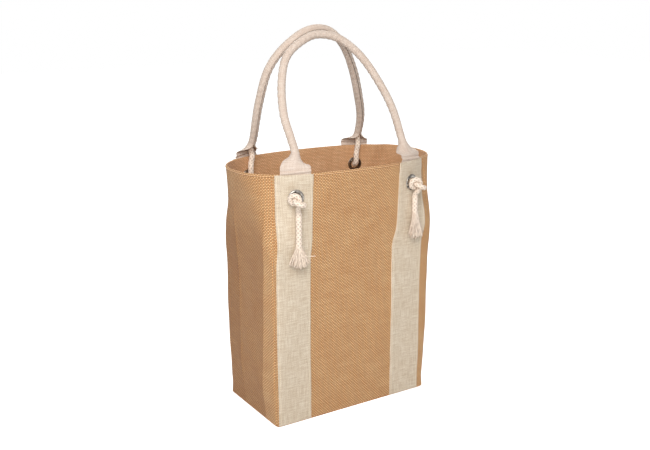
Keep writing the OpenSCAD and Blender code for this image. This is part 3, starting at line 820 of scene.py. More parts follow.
@dataclass
class Bag:
    """The walls, the base, the rim's fold and the canvas stripes."""

    builder: Builder
    wall: Wall
    facing_depth: float = 62 * MM
    facing_cloth: float = 1.4 * MM
    ply_gap: float = 0.2 * MM
    stripe_width: float = 58 * MM
    stripe_margin: float = 8 * MM
    front_shift: float = -4 * MM
    back_shift: float = 2 * MM
    cut_height: float = 398 * MM
    sheet_low: float = 2 * MM
    fold_start: float = 4 * MM
    outer_rows: int = 7
    grid: float = 4 * MM
    panel_columns: int = 81
    groove: float = 1.3 * MM
    groove_width: float = 3.5 * MM
    ridge_heights: tuple[float, ...] = (20 * MM, 170 * MM, 310 * MM)
    ridge_shares: tuple[float, ...] = (0.215, 0.165, 0.10)
    ridge_stand: float = 5 * MM
    dip_share: float = 0.671
    fold_gap: float = 0.008
    canvas: float = 1 * MM
    hem_edge: float = 0.9 * MM
    hem_width: float = 5.5 * MM
    hem_lift: float = 0.35 * MM
    stitch_dip: float = 0.45 * MM
    tab_depth: float = 19 * MM
    sways: tuple[float, float] = (-2.5 * MM, -7 * MM)
    stitch_in: float = 3.2 * MM
    stitch: float = 2.7 * MM
    stitch_pitch: float = 3.5 * MM
    thread_d: float = 0.75 * MM

    def stripe_reach(self) -> float:
        """Return how far the stripes' middles lie from the middle between them."""
        return self.wall.seam(0) - self.stripe_margin - self.stripe_width / 2

    def build(self) -> None:
        """Make every piece of the bag itself."""
        for face in ("front", "back"):
            self._panel(face)
        for face in ("right", "left"):
            self._gusset(face)
        self._rim()
        self._base()
        self._rim_stitches()
        for face, shift, sways in (("front", self.front_shift, self.sways), ("back", self.back_shift, (0.0, 0.0))):
            for name, side, sway in zip(("left", "right"), (-1, 1), sways):
                self._stripe(face, f"{face}_{name}_stripe", shift + side * self.stripe_reach(), sway)

    @staticmethod
    def _keep(
        piece: bpy.types.Object, slot: str, node: str = "", flat: tuple[float, float] = (0, 0), held: str = ""
    ) -> None:
        """Tie a finished piece to the bag's body.

        Args:
            piece: a sheet or stitches.
            slot: not used.
            node: the solid that a sheet stands for.
            flat: the width and length that it was cut to; not used.
            held: how it is held; not used.
        """
        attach(piece, "bag")
        if node:
            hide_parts(node)
        LOG.info("made %s", piece.name)

    def _wall_sheet(
        self, name: str, face: str, top: float, span: Span, finish: Finish, thickness: float
    ) -> bpy.types.Object:
        """Make a sheet of wall cloth.

        Args:
            name: the piece's name.
            face: the face or end of the bag that it belongs to.
            top: its highest height.
            span: a function from a height to the places round the plan and how far they stand out.
            finish: its finish.
            thickness: how thick the cloth is.

        Returns:
            The object.
        """
        outer, inner, places = [], [], []
        for z in self.wall.heights(self.sheet_low, top, self.grid):
            s, out = span(z)
            round_there = self._facing(z, s, face)
            outer.append(self.wall.points(z, round_there, out))
            inner.append(self.wall.points(z, round_there, out - thickness))
            places.append(np.stack([s, np.full_like(s, z)], axis=1))
        return self.builder.sheet(name, outer, inner, places, finish, mirrored=face in ("back", "left"))

    def _facing(self, z: float, s: np.ndarray | float, face: str) -> np.ndarray | float:
        """Return places round the plan, moved across to the back or the left where they belong there."""
        return {"back": 2 * self.wall.quarter(z) - s, "left": -s}.get(face, s)

    def _groove(self, s: np.ndarray, low: float, high: float) -> np.ndarray:
        """Return how a panel's two edges turn in towards their seams."""
        near = np.minimum(s - low, high - s)
        return -self.groove * (1 - eased(near / self.groove_width)) ** 2

    def _panel(self, face: str) -> None:
        """Make a face panel.

        Args:
            face: front or back.
        """

        def span(z: float) -> tuple[np.ndarray, np.ndarray]:
            """Return the panel's places at a height, close together at its edges.

            Args:
                z: the height.

            Returns:
                The places, and how far each stands out.
            """
            reach = self.wall.seam(z)
            share = np.linspace(-1, 1, self.panel_columns)
            s = reach * (1.12 * share - 0.12 * share**3)
            return s, self._groove(s, -reach, reach)

        top = self.wall.height - self.fold_start
        piece = self._wall_sheet(f"{face}_jute", face, top, span, Finish.JUTE, self.wall.cloth)
        self._keep(piece, "jute", f"{face}_panel", (294 * MM, self.cut_height), "stretched")

    def _gusset(self, face: str) -> None:
        """Make an end wall: it stands out over a fold near its front and falls back behind it; its middle and rear
        get painted shade.

        Args:
            face: right or left.
        """
        steps, dip, gap, shades = (14, 24, 20), self.dip_share, self.fold_gap, []
        # Painted shade on the three zones across the end wall: none by its front fold, more in the middle and most at
        # the rear, where it turns away from the light
        shade = np.repeat([0, 0.7, 0.9], steps)

        def span(z: float) -> tuple[np.ndarray, np.ndarray]:
            """Return the gusset's places at a height, and keep how much painted shade each gets.

            Args:
                z: the height.

            Returns:
                The places, and how far each stands out.
            """
            ridge = float(np.interp(z, self.ridge_heights, self.ridge_shares))
            zones = zip((0, ridge, dip), (ridge - gap, dip - gap, 1), steps)
            share = np.concatenate([np.linspace(*zone) for zone in zones])
            low, high = self.wall.seam(z), 2 * self.wall.quarter(z) - self.wall.seam(z)
            s = low + (high - low) * share
            fade = float(eased((z - 0.28) / 0.09))
            stand = self.ridge_stand * np.interp(share, [0, ridge, dip, 1], [0, 1, 0.8, 0])
            stand = stand + 0.9 * MM * np.exp(-(((share - dip) / 0.012) ** 2))
            # the painted shade fades out towards the rim
            shades.append(shade * (1 - 0.75 * fade))
            return s, self._groove(s, low, high) + stand * float(eased(z / 0.07)) * (1 - fade)

        top = self.wall.height - self.fold_start
        piece = self._wall_sheet(f"{face}_gusset_jute", face, top, span, Finish.JUTE, self.wall.cloth)
        # Painted shade: each corner of the end wall gets its zone's painted shade value
        self.builder.mark(piece, PAINTED_SHADE, np.tile(np.ravel(shades), 2))
        self._keep(piece, "jute", f"{face}_gusset", (154 * MM, self.cut_height), "stretched")

    def _rim(self) -> None:
        """Make the rim's fold: the cloth goes over the top and down inside as a facing."""
        top = self.wall.height
        radius = (self.wall.cloth + self.ply_gap + self.facing_cloth) / 2
        bend, falls = np.linspace(0, math.pi, 9), np.linspace(top - 8 * MM, top - self.facing_depth, 12)
        share = np.linspace(0, 1, 241)

        def path(depth: float) -> np.ndarray:
            """Return the fold's section.

            Args:
                depth: how deep in the cloth it lies.

            Returns:
                Rows of how far out the cloth lies and how high.
            """
            arc = radius - depth
            out = [-depth, *(arc * np.cos(bend) - radius), *(0 * falls + depth - 2 * radius)]
            high = [top - self.fold_start, *(top - radius + arc * np.sin(bend)), *falls]
            return np.stack([out, high], axis=1)

        def rows(depth: float) -> list[np.ndarray]:
            """Return the fold's rows all round the rim.

            Args:
                depth: how deep in the cloth they lie.

            Returns:
                The rows of points.
            """
            return [
                self.wall.points(z, 4 * self.wall.quarter(min(z, top)) * share[:-1], out) for out, z in path(depth)
            ]

        run = running_length(path(0))
        around = 4 * self.wall.quarter(top) * share
        places = [np.stack([around, np.full_like(share, top + d)], axis=1) for d in run]
        piece = self.builder.sheet("rim_fold", rows(0), rows(self.facing_cloth), places, Finish.JUTE, looped=True)
        inside = np.tile(np.repeat(np.arange(len(run) - 1) >= self.outer_rows, len(share) - 1), 2)
        # Painted light: the rows inside the rim get the lighter copy of the jute
        self.builder.dress(piece, Finish.FACING_JUTE_PAINTED_LIGHT, inside)
        self._keep(piece, "inner_jute", "rim_facing", (852 * MM, 66 * MM), "folded")

    def _base(self) -> None:
        """Make the base cloth with its turned-up edge."""
        count, thick = 160, 2 * MM
        s = 4 * self.wall.quarter(0) * np.linspace(0, 1, count + 1)[:-1]
        edge, flat = self.wall.points(thick, s, -0.3 * MM), self.wall.points(0, s, -3 * MM)
        rings = [edge, self.wall.points(0.9 * MM, s, 0.1 * MM), self.wall.points(0, s, -0.9 * MM)]
        rings += [flat * np.array([k, k, 1]) for k in (1, 0.75, 0.5, 0.25)]
        points = np.vstack([*rings, [[0, 0, 0]], edge * np.array([0.995, 0.992, 1]), [[0, 0, thick]]])
        k = np.arange(count)
        after, last, upper = (k + 1) % count, (len(rings) - 1) * count, len(rings) * count + 1
        faces = grid_quads(len(rings), count, count).tolist()
        for corners in (
            (last + after, 0 * k + upper - 1, last + k),
            (k, upper + k, upper + after, after),
            (upper + k, 0 * k + upper + count, upper + after),
        ):
            faces += np.stack(corners, axis=1).tolist()
        uv = np.array([points[c][:2] for face in faces for c in face])
        piece = self.builder.mesh("base_jute", points, faces, Finish.JUTE, uv)
        self._keep(piece, "jute", "base_panel", (288 * MM, 160 * MM), "laid")

    def _stripe_face(self, near: np.ndarray | float, z: float) -> np.ndarray | float:
        """Return how far a stripe's face stands out.

        Args:
            near: the distance from its nearer edge.
            z: the height.

        Returns:
            The distance from the wall's face.
        """
        layers = 1 + float(eased((z - self.wall.height + self.tab_depth) / (4 * MM)))
        edge = self.hem_edge * (1 - eased(near / self.hem_edge))
        hem = self.hem_lift * (1 - eased((near - self.hem_width) / (2 * MM)))
        sewn = self.stitch_dip * np.exp(-(((near - self.stitch_in) / (0.8 * MM)) ** 2))
        return layers * (self.canvas + self.ply_gap) - edge + hem - sewn

    def _stripe(self, face: str, node: str, middle: float, sway: float) -> None:
        """Make a canvas stripe with its edges folded under and pulled in by their stitching.

        Args:
            face: the face that it is sewn to.
            node: the solid that it stands for.
            middle: its middle, round the plan.
            sway: how far it wanders sideways below the stiff rim.
        """
        half = self.stripe_width / 2
        share = np.concatenate([[0, 0.6, 1.4, 2.6, 3.8, 6], np.linspace(8, 50, 15), [52, 54.2, 55.4, 56.6, 57.4, 58]])
        across = share / share[-1] * self.stripe_width
        near = np.minimum(across, across[-1] - across)

        def aside(z: float) -> float:
            """Return how far the stripe has wandered sideways at a height."""
            at_base = 3 * MM * (1 - float(eased(z / 0.16))) if sway else 0.0
            return at_base + sway * (1 - float(eased((z - 0.262) / 0.034)))

        def span(z: float) -> tuple[np.ndarray, np.ndarray]:
            """Return the stripe's places at a height."""
            return middle - half + across + aside(z), self._stripe_face(near, z)

        top = self.wall.height - 0.6 * MM
        piece = self._wall_sheet(node + "_canvas", face, top, span, Finish.STRIPE_CANVAS, self.canvas)
        self._keep(piece, "stripe_canvas", node, (self.stripe_width, self.cut_height), "laid")
        rows = []
        for side in (-1, 1):
            line, out = [], []
            for z in self.wall.heights(4 * MM, top - 3 * MM, self.grid):
                s = self._facing(z, middle + side * (half - self.stitch_in) + aside(z), face)
                line.append(self.wall.points(z, np.array([s]), float(self._stripe_face(self.stitch_in, z)))[0])
                out.append(self.wall.frame(z, s)[3])
            rows.append((np.array(line), np.array(out)))
        self._sew(node + "_stitches", rows, Finish.THREAD, "stripe_canvas")

    def _rim_stitches(self) -> None:
        """Sew the facing's fold to the walls between the stripes."""
        z = self.wall.height - 3 * MM
        quarter, half = self.wall.quarter(z), self.stripe_width / 2 + 1 * MM
        inner, outer = self.stripe_reach() - half, self.stripe_reach() + half
        front, back = self.front_shift, 2 * quarter - self.back_shift
        rows = []
        for low, high in (
            (front - inner, front + inner), (front + outer, back - outer),
            (back - inner, back + inner), (back + outer, 4 * quarter + front - outer),
        ):
            s = np.arange(low, high, 3 * MM)
            line = self.wall.points(z, s, 0.1 * MM)
            rows.append((line, unit(self.wall.points(z, s, 1.1 * MM) - line)))
        self._sew("rim_stitches", rows, Finish.JUTE_THREAD, "jute")

    def _sew(self, name: str, rows: Sequence[tuple[np.ndarray, np.ndarray]], finish: Finish, slot: str) -> None:
        """Sew rows of short stitches that dip into the cloth at both ends.

        Args:
            name: the piece's name.
            rows: for each row, places along the cloth's face and the directions out of it.
            finish: the thread's finish.
            slot: handed on to _keep, which does not use it.
        """
        shares = np.array([0, 0.14, 0.5, 0.86, 1])
        lift = self.thread_d * np.array([-0.5, 0.1, 0.32, 0.1, -0.5])
        radii = np.repeat(self.thread_d / 2 * np.array([[0.7], [1], [1.05], [1], [0.7]]), 6, axis=1)
        rings = []
        for line, out in rows:
            run = running_length(line)
            for start in np.arange(self.stitch_pitch / 2, run[-1] - self.stitch, self.stitch_pitch):
                places = start + self.stitch * shares
                up = unit(at_lengths(places, run, out))
                rings.append(round_rings(at_lengths(places, run, line) + up * lift[:, None], radii, up[2]))
        self._keep(self.builder.tubes(name, np.array(rings), finish, 0.8, capped=False), slot)


# Handles and rope


@dataclass
class Handle:
    """One handle: its canvas sleeve with its two flat ends, its rope with two knots, and two tails."""

    builder: Builder
    bag: Bag
    face: str
    shift: float
    rise: float
    drop: float
    path_shares: Sequence[tuple[float, float]]
    fray_lengths: tuple[float, float]
    roll_height: float
    slant: float = 0
    slack: tuple[float, float] = (0, 0)
    inset: float = 2 * MM
    sleeve_d: float = 12.3 * MM
    sleeve_cloth: float = 1 * MM
    tab_width: float = 46 * MM
    tab_stand: float = 5 * MM
    tab_tuck: float = 15 * MM
    tab_rows: int = 26
    hem_height: float = 5.2 * MM
    hem_slope: float = 3 * MM
    hem_ridge: float = 2.2 * MM
    hem_dent: float = 0.8 * MM
    upright_height: float = 14 * MM
    round_share: float = 0.97
    sleeve_step: float = 1.7 * MM
    bend_heights: tuple[float, float] = (3 * MM, 11 * MM)
    meet_gap: float = 3 * MM
    rope_d: float = 9.4 * MM
    rope_step: float = 0.75 * MM
    rope_room: float = 0.6 * MM
    edge_room: float = 1.2 * MM
    facing_back: float = 3.2 * MM
    eyelet_back: float = 6.7 * MM
    crease_gap: float = 0.5 * MM
    tail_gap: float = 0.25 * MM
    hole_d: float = 14 * MM
    tied_stretch: tuple[float, float] = (11 * MM, 127 * MM)
    squeeze: float = 0.8
    flange_face: float = 3.4 * MM
    near_turn: float = 7.525 * MM
    tail_lengths: tuple[float, float] = (80 * MM, 67 * MM)
    fray_width: float = 37 * MM
    fray_depth: float = 12 * MM

    @property
    def at_back(self) -> bool:
        """Return whether the handle belongs to the back, to which its front's shape is mirrored."""
        return self.face == "back"

    @property
    def roll_radius(self) -> float:
        """Return the radius of the middle of the rolled cloth."""
        return (self.sleeve_d - self.sleeve_cloth) / 2

    def fitting(self, side: int) -> float:
        """Return where the handle's foot and eyelet lie round the plan."""
        return self.shift + side * (self.bag.stripe_reach() - self.inset)

    def level_out(self, side: int) -> np.ndarray:
        """Return the level direction out of the wall at a foot."""
        out = self.bag.wall.frame(self.bag.wall.height - 1 * MM, self.fitting(side))[3]
        return unit(np.array([out[0], out[1], 0]))

    def foot(self, side: int) -> np.ndarray:
        """Return the middle of the rolled sleeve at a foot.

        Args:
            side: -1 at the left, 1 at the right.

        Returns:
            The place.
        """
        place = self.bag.wall.points(
            self.bag.wall.height, np.array([self.fitting(side)]), self.bag.ply_gap + self.sleeve_cloth / 2
        )[0]
        place[2] = self.bag.wall.height + self.tab_stand + self.crease_gap
        return place - self.level_out(side) * self.roll_radius

    def tilt(self) -> float:
        """Return how far the handle leans in, so that its top almost meets the other handle's."""
        foot_y = (self.foot(-1)[1] + self.foot(1)[1]) / 2
        return math.asin((-foot_y - (self.sleeve_d + self.meet_gap) / 2) / self.rise)

    def line(self, steps: int) -> np.ndarray:
        """Return the line through the middle of the sleeve, from the left foot to the right foot.

        Args:
            steps: the steps between two places of its path.

        Returns:
            The line's points.
        """
        left, right, tilt = self.foot(-1), self.foot(1), self.tilt()
        lean = np.array([0, math.sin(tilt), math.cos(tilt)])
        return smooth_curve(
            [left + (right - left) * (across + 1) / 2 + self.rise * up * lean for across, up in self.path_shares],
            steps,
        )

    def build(self) -> None:
        """Make every piece of the handle."""
        self._sleeve()
        self._rope()
        for name, side in (("left", -1), ("right", 1)):
            self._tail(name, side)

    def _turn(self, points: np.ndarray) -> np.ndarray:
        """Mirror points to the back face where the handle belongs there."""
        return np.array(points, float) * np.array([1, -1 if self.at_back else 1, 1])

    def _yarns(self, name: str, rings: np.ndarray, strand: np.ndarray) -> bpy.types.Object:
        """Make a piece of rope or of loose yarns.

        Args:
            name: the piece's name.
            rings: the points, by tube, ring and side.
            strand: how high each point lies on its strand.

        Returns:
            The object.
        """
        piece = self.builder.tubes(name, self._turn(rings), Finish.ROPE, strand)
        if self.at_back:
            piece.data.flip_normals()
        return piece

    def _bend(self, piece: bpy.types.Object, slot: str, *ends: str) -> None:
        """Fix a piece's place in its mesh and hide the solids that it stands for.

        Args:
            piece: the piece.
            slot: not used.
            ends: the solids that it stands for, without the name of its face.
        """
        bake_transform(piece)
        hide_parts(*(f"{self.face}_{end}" for end in ends))
        LOG.info("made %s", piece.name)

    def _sleeve(self) -> None:
        """Make the sleeve: flat under the stripes, then rolled round the rope."""
        line = even_steps(self.line(steps=16), self.sleeve_step)
        run, ahead = running_length(line), directions(line)
        top = self.bag.wall.height
        tab = np.linspace(top - self.tab_tuck, top + self.tab_stand, self.tab_rows)
        rows = [self._flat_rows(z, -1) for z in tab]
        rows += [self._rolled_rows(*here, run[-1]) for here in zip(line, ahead, run)]
        rows += [self._flat_rows(z, 1) for z in tab[::-1]]
        along = np.concatenate([tab - line[0][2], run, run[-1] + line[-1][2] - tab[::-1]])
        places = [np.stack([ACROSS * self.tab_width, np.full_like(ACROSS, place)], axis=1) for place in along]
        outer, inner = np.moveaxis(self._turn(rows), 1, 0)
        name = f"{self.face}_sleeve_canvas"
        piece = self.builder.sheet(name, outer, inner, places, Finish.SLEEVE_CANVAS, mirrored=not self.at_back)
        self._bend(piece, "sleeve_canvas", "handle_sleeve", "left_tab", "right_tab")

    def _flat_rows(self, z: float, side: int) -> np.ndarray:
        """Return the outer and inner row of a flat end, with the ridge of its turned hem.

        Args:
            z: the height.
            side: -1 at the left, 1 at the right.

        Returns:
            The rows.
        """
        crease = z - self.bag.wall.height - self.hem_height - self.hem_slope * ACROSS
        ridge = self.hem_ridge * eased(1 - np.abs(crease + 2.4 * MM) / (2.8 * MM))
        ridge = ridge - self.hem_dent * np.exp(-((crease / (0.9 * MM)) ** 2))
        s, near = self.fitting(side) - side * ACROSS * self.tab_width, self.bag.ply_gap
        return np.array([self.bag.wall.points(z, s, reach + ridge) for reach in (near + self.sleeve_cloth, near)])

    def _rolled_rows(self, place: np.ndarray, ahead: np.ndarray, at: float, total: float) -> np.ndarray:
        """Return the outer and inner row of the sleeve at a place on its line.

        Args:
            place: the place.
            ahead: the line's direction there.
            at: how far along the line it lies.
            total: the line's length.

        Returns:
            The rows, from flat where the cloth leaves the wall to a tube round the rope.
        """
        from_foot, side = min(at, total - at), -1 if at < total / 2 else 1
        rolled = float(eased(from_foot / self.roll_height))
        upright, level, tilt = np.array([0, 0, -side]), self.level_out(side), self.tilt()
        leaned = np.array([0, -math.cos(tilt), math.sin(tilt)])
        along = unit(upright + (ahead - upright) * float(eased(from_foot / self.upright_height)))
        raw = unit(level + (leaned - level) * rolled)
        out = unit(raw - along * (raw @ along))
        loose = self.slack[max(side, 0)] * float(eased(1.1 - abs(from_foot / total - 0.2) / 0.2))
        full_turn = 2 * math.pi * self.round_share
        width = self.tab_width + (full_turn * self.roll_radius * (1 + loose) - self.tab_width) * rolled
        sweep = max(full_turn * rolled, math.radians(2))
        radius, turn = width / sweep, (sweep * ACROSS)[:, None]
        wrinkle = 0.3 * MM * np.sin(at * 620 + 9 * ACROSS) * rolled * np.cos(ACROSS * 9)
        wrinkle = wrinkle + 0.25 * MM * np.sin(at * 1450 + 14 * ACROSS)
        curl = np.cross(along, out) * np.sin(turn) + out * np.cos(turn)
        middle, half = place + out * (self.roll_radius - radius), self.sleeve_cloth / 2
        tube = np.array([middle + (radius + reach + wrinkle)[:, None] * curl for reach in (half, -half)])
        flat = self._flat_rows(place[2], side)
        return flat + (tube - flat) * float(eased((place[2] - self.bag.wall.height - 8 * MM) / (7 * MM)))

    def eyelet(self, side: int) -> tuple[np.ndarray, np.ndarray, np.ndarray, np.ndarray]:
        """Return the eyelet's place and directions."""
        return self.bag.wall.frame(self.bag.wall.height - self.drop, self.fitting(side))

    @staticmethod
    def _in(frame: tuple[np.ndarray, ...], x: float, y: float, out: float) -> np.ndarray:
        """Return a point given in an eyelet's own directions."""
        return frame[0] + frame[1] * x + frame[2] * y + frame[3] * out

    def knot_end(self, side: int) -> np.ndarray:
        """Return where the tail leaves the knot."""
        right, up = (self.rope_d * share for share in KNOT_END_SHARES)
        return self._in(self.eyelet(side), right, up, self.flange_face + self.rope_d / 2)

    def pivot(self, side: int) -> np.ndarray:
        """Return the place that the tail sways about, in the middle of its round top."""
        return self.knot_end(side) - (self.tail_gap + self.rope_d / 2) * UP

    def _rope_end(self, side: int) -> tuple[list[np.ndarray], list[np.ndarray]]:
        """Return the rope's route inside the rim and through the eyelet, and its route through its knot.

        Args:
            side: -1 at the left, 1 at the right.

        Returns:
            The two routes, each as a list of places.
        """
        wall, s, frame = self.bag.wall, self.fitting(side), self.eyelet(side)
        radius, top, rope = self.rope_d / 2, wall.height, self.rope_d
        inside, low = (-back - radius - self.rope_room for back in (self.facing_back, self.eyelet_back))
        bend = self.hole_d / 2 + self.edge_room

        def at(z: float, out: float, aside: float) -> np.ndarray:
            """Return a place inside the wall."""
            return wall.points(z, np.array([s + aside * self.slant]), out)[0]

        route = [
            at(top + self.tab_stand, (inside - 1.8 * MM) / 2 - radius / 2, 1),
            at(top, inside - self.rope_room, 0.9),
            at(top - rope, inside - self.rope_room, 0.5),
            self._in(frame, 0, bend + rope, low),
        ]
        for turn in np.radians([0, 30, 60, 90]):
            route.append(self._in(frame, 0, bend * (1 - math.sin(turn)), low + bend * (1 - math.cos(turn))))
        tied = [self._in(frame, rope * x, rope * y, self.near_turn + rope * out) for x, y, out in KNOT_SHARES]
        end, pivot = self.knot_end(side), self.pivot(side)
        return route, [*tied, end + rope * 0.4 * UP, end, pivot, pivot - rope * 0.45 * UP]

    def _rope(self) -> None:
        """Make the rope: through the sleeve, with a knot outside each eyelet."""
        (left, left_knot), (right, right_knot) = self._rope_end(-1), self._rope_end(1)
        steps = 4
        route = [*left_knot[::-1], *left[::-1], *self.line(steps)[steps:-steps], *right, *right_knot]
        line = even_steps(smooth_curve(route, steps=8), self.rope_step)
        run, radius = running_length(line), self.rope_d / 2
        from_end = np.minimum(run, run[-1] - run)
        tied_in, tied_out = self.tied_stretch
        tight = eased((from_end - tied_in) / (6 * MM)) * (1 - eased((from_end - tied_out) / (8 * MM)))
        sizes = radius * (1 - (1 - self.squeeze) * tight) * round_ends(from_end, radius)
        rings, strand = braid(line, sizes)
        piece = self._yarns(f"{self.face}_rope", rings[None], strand)
        self._bend(piece, "rope", "handle_rope", "left_knot", "right_knot")

    def _tail(self, name: str, side: int) -> None:
        """Make a tail: a hanging stretch of rope that ends in a fray of loose yarns.

        Args:
            name: left or right.
            side: -1 at the left, 1 at the right.
        """
        length, fray_length = self.tail_lengths[max(side, 0)], self.fray_lengths[max(side, 0)]
        tail, radius, neck = f"{self.face}_{name}", self.rope_d / 2, length - fray_length
        top = self.pivot(side) + radius * UP
        depth = np.arange(0, length - 2 * MM, self.rope_step)
        sizes = radius * round_ends(depth, radius) * (1 - 0.22 * eased((depth - neck) / (length - neck)))
        rings, strand = braid(top - depth[:, None] * UP, sizes)
        strand = strand * (1 - 0.75 * eased((depth - neck) / (10 * MM)))[:, None]
        piece = self._yarns(f"{tail}_tail_rope", rings[None], strand)
        fray = Fray(
            start=top - (neck - 5 * MM) * UP,
            across=unit(self.eyelet(side)[1] * np.array([1, 1, 0])),
            out=self.level_out(side),
            length=fray_length + 6 * MM,
            width=self.fray_width,
            depth=self.fray_depth,
            stray=5 * MM - side * 20 * MM,
        )
        yarns = self._yarns(f"{tail}_fray", *fray.rings(seed=7 + 2 * (side > 0) + self.at_back))
        for made in (piece, yarns):
            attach(made, f"{tail}_rope_tail")
        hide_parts(f"{tail}_tail")
        path = self._turn(top - np.linspace(0, length, 12)[:, None] * UP)
        LOG.info("made %s and %s", piece.name, yarns.name)


def round_ends(from_end: np.ndarray, radius: float) -> np.ndarray:
    """Return the share of its radius that a rope has near a round end."""
    return np.sqrt(np.clip(1 - (1 - np.clip(from_end / radius, 0, 1)) ** 2, 0.02, 1))


def braid(
    line: np.ndarray, radii: np.ndarray, sides: int = 32, strands: int = 4, lay_length: float = 26 * MM
) -> tuple[np.ndarray, np.ndarray]:
    """Return the rings of a braided rope and how high each of their points lies on its strand.

    Args:
        line: the rope's middle at even steps.
        radii: the rope's outer radius at every point.
        sides: points in a ring.
        strands: the strands that run each way.
        lay_length: the length in which a strand goes once round.

    Returns:
        The rings, with strands that cross over one another, and heights from 0 in a groove to 1.
    """
    turn = np.linspace(0, 2 * math.pi, sides, endpoint=False)[None]
    lay = running_length(line)[:, None] * (2 * math.pi / lay_length)
    one, other = strands * (turn + lay), strands * (turn - lay)
    over = np.cos(2 * strands * lay) * np.cos(strands * turn)
    crowns = np.maximum(np.cos(one) * (0.6 + 0.4 * over), np.cos(other) * (0.6 - 0.4 * over))
    rings = round_rings(line, radii[:, None] * (0.87 + 0.16 * crowns), SIDEWAYS)
    return rings, np.clip((crowns + 0.2) / 0.8, 0, 1)


@dataclass(frozen=True)
class Fray:
    """The loose, curly yarns at a rope's end."""

    start: np.ndarray
    across: np.ndarray
    out: np.ndarray
    length: float
    width: float
    depth: float
    stray: float
    yarns: int = 62
    yarn_d: float = 1.7 * MM
    stray_d: float = 1 * MM
    packing_turn: float = 2.39996
    sides: int = 7
    steps: int = 13

    def rings(self, seed: int) -> tuple[np.ndarray, np.ndarray]:
        """Return the rings of every yarn and how light each of their points is.

        Args:
            seed: the start of the random numbers.

        Returns:
            The rings' points by yarn, ring and side, and their heights as on a strand.
        """
        random = np.random.default_rng(seed)
        t = np.linspace(0, 1, self.steps)
        rings, heights = [], []
        for k in range(self.yarns):
            spread, angle = math.sqrt((k + 0.5) / self.yarns), self.packing_turn * k
            x, y = spread * math.cos(angle), spread * math.sin(angle)
            reach = self.length * (1 - 0.13 * random.random() - 0.17 * x * x)
            bow = t**1.15 * (0.9 + 0.2 * random.random())
            phase, curl = random.random(3) * 2 * math.pi, 0.9 * MM * t
            side = x * (3.4 * MM + (self.width / 2 - 4 * MM) * bow) + curl * np.sin(t * 9 + phase[0])
            flat = 0.5 if y < 0 else 1.0
            front = flat * y * (3.0 * MM + (self.depth / 2 - 3 * MM) * bow) + curl * np.sin(t * 8 + phase[1])
            thick = self.yarn_d / 2 * (1 + 0.12 * np.sin(t * 16 + phase[2])) * (1 - 0.45 * (t > 0.97))
            tone = 0.25 + 0.75 * random.random()
            rings.append(self._yarn(side, front + 3 * MM * t, reach * t, thick))
            heights.append(np.repeat(tone * (0.68 + 0.32 * np.sin(t * 26 + phase[0])), self.sides))
        drop = self.length * (0.35 + 0.15 * eased(t * 1.6))
        rings.append(self._yarn(self.stray * t, 3 * MM + 0 * t, drop, self.stray_d / 2 + 0 * t))
        heights.append(np.ones(self.steps * self.sides))
        return np.array(rings), np.concatenate(heights)

    def _yarn(self, side: np.ndarray, front: np.ndarray, down: np.ndarray, thick: np.ndarray) -> np.ndarray:
        """Return the rings of a yarn from its distances sideways, to the front and down, and its thickness."""
        line = self.start + side[:, None] * self.across + front[:, None] * self.out - down[:, None] * UP
        return round_rings(line, np.repeat(thick[:, None], self.sides, axis=1), SIDEWAYS)


# Stage, light and camera


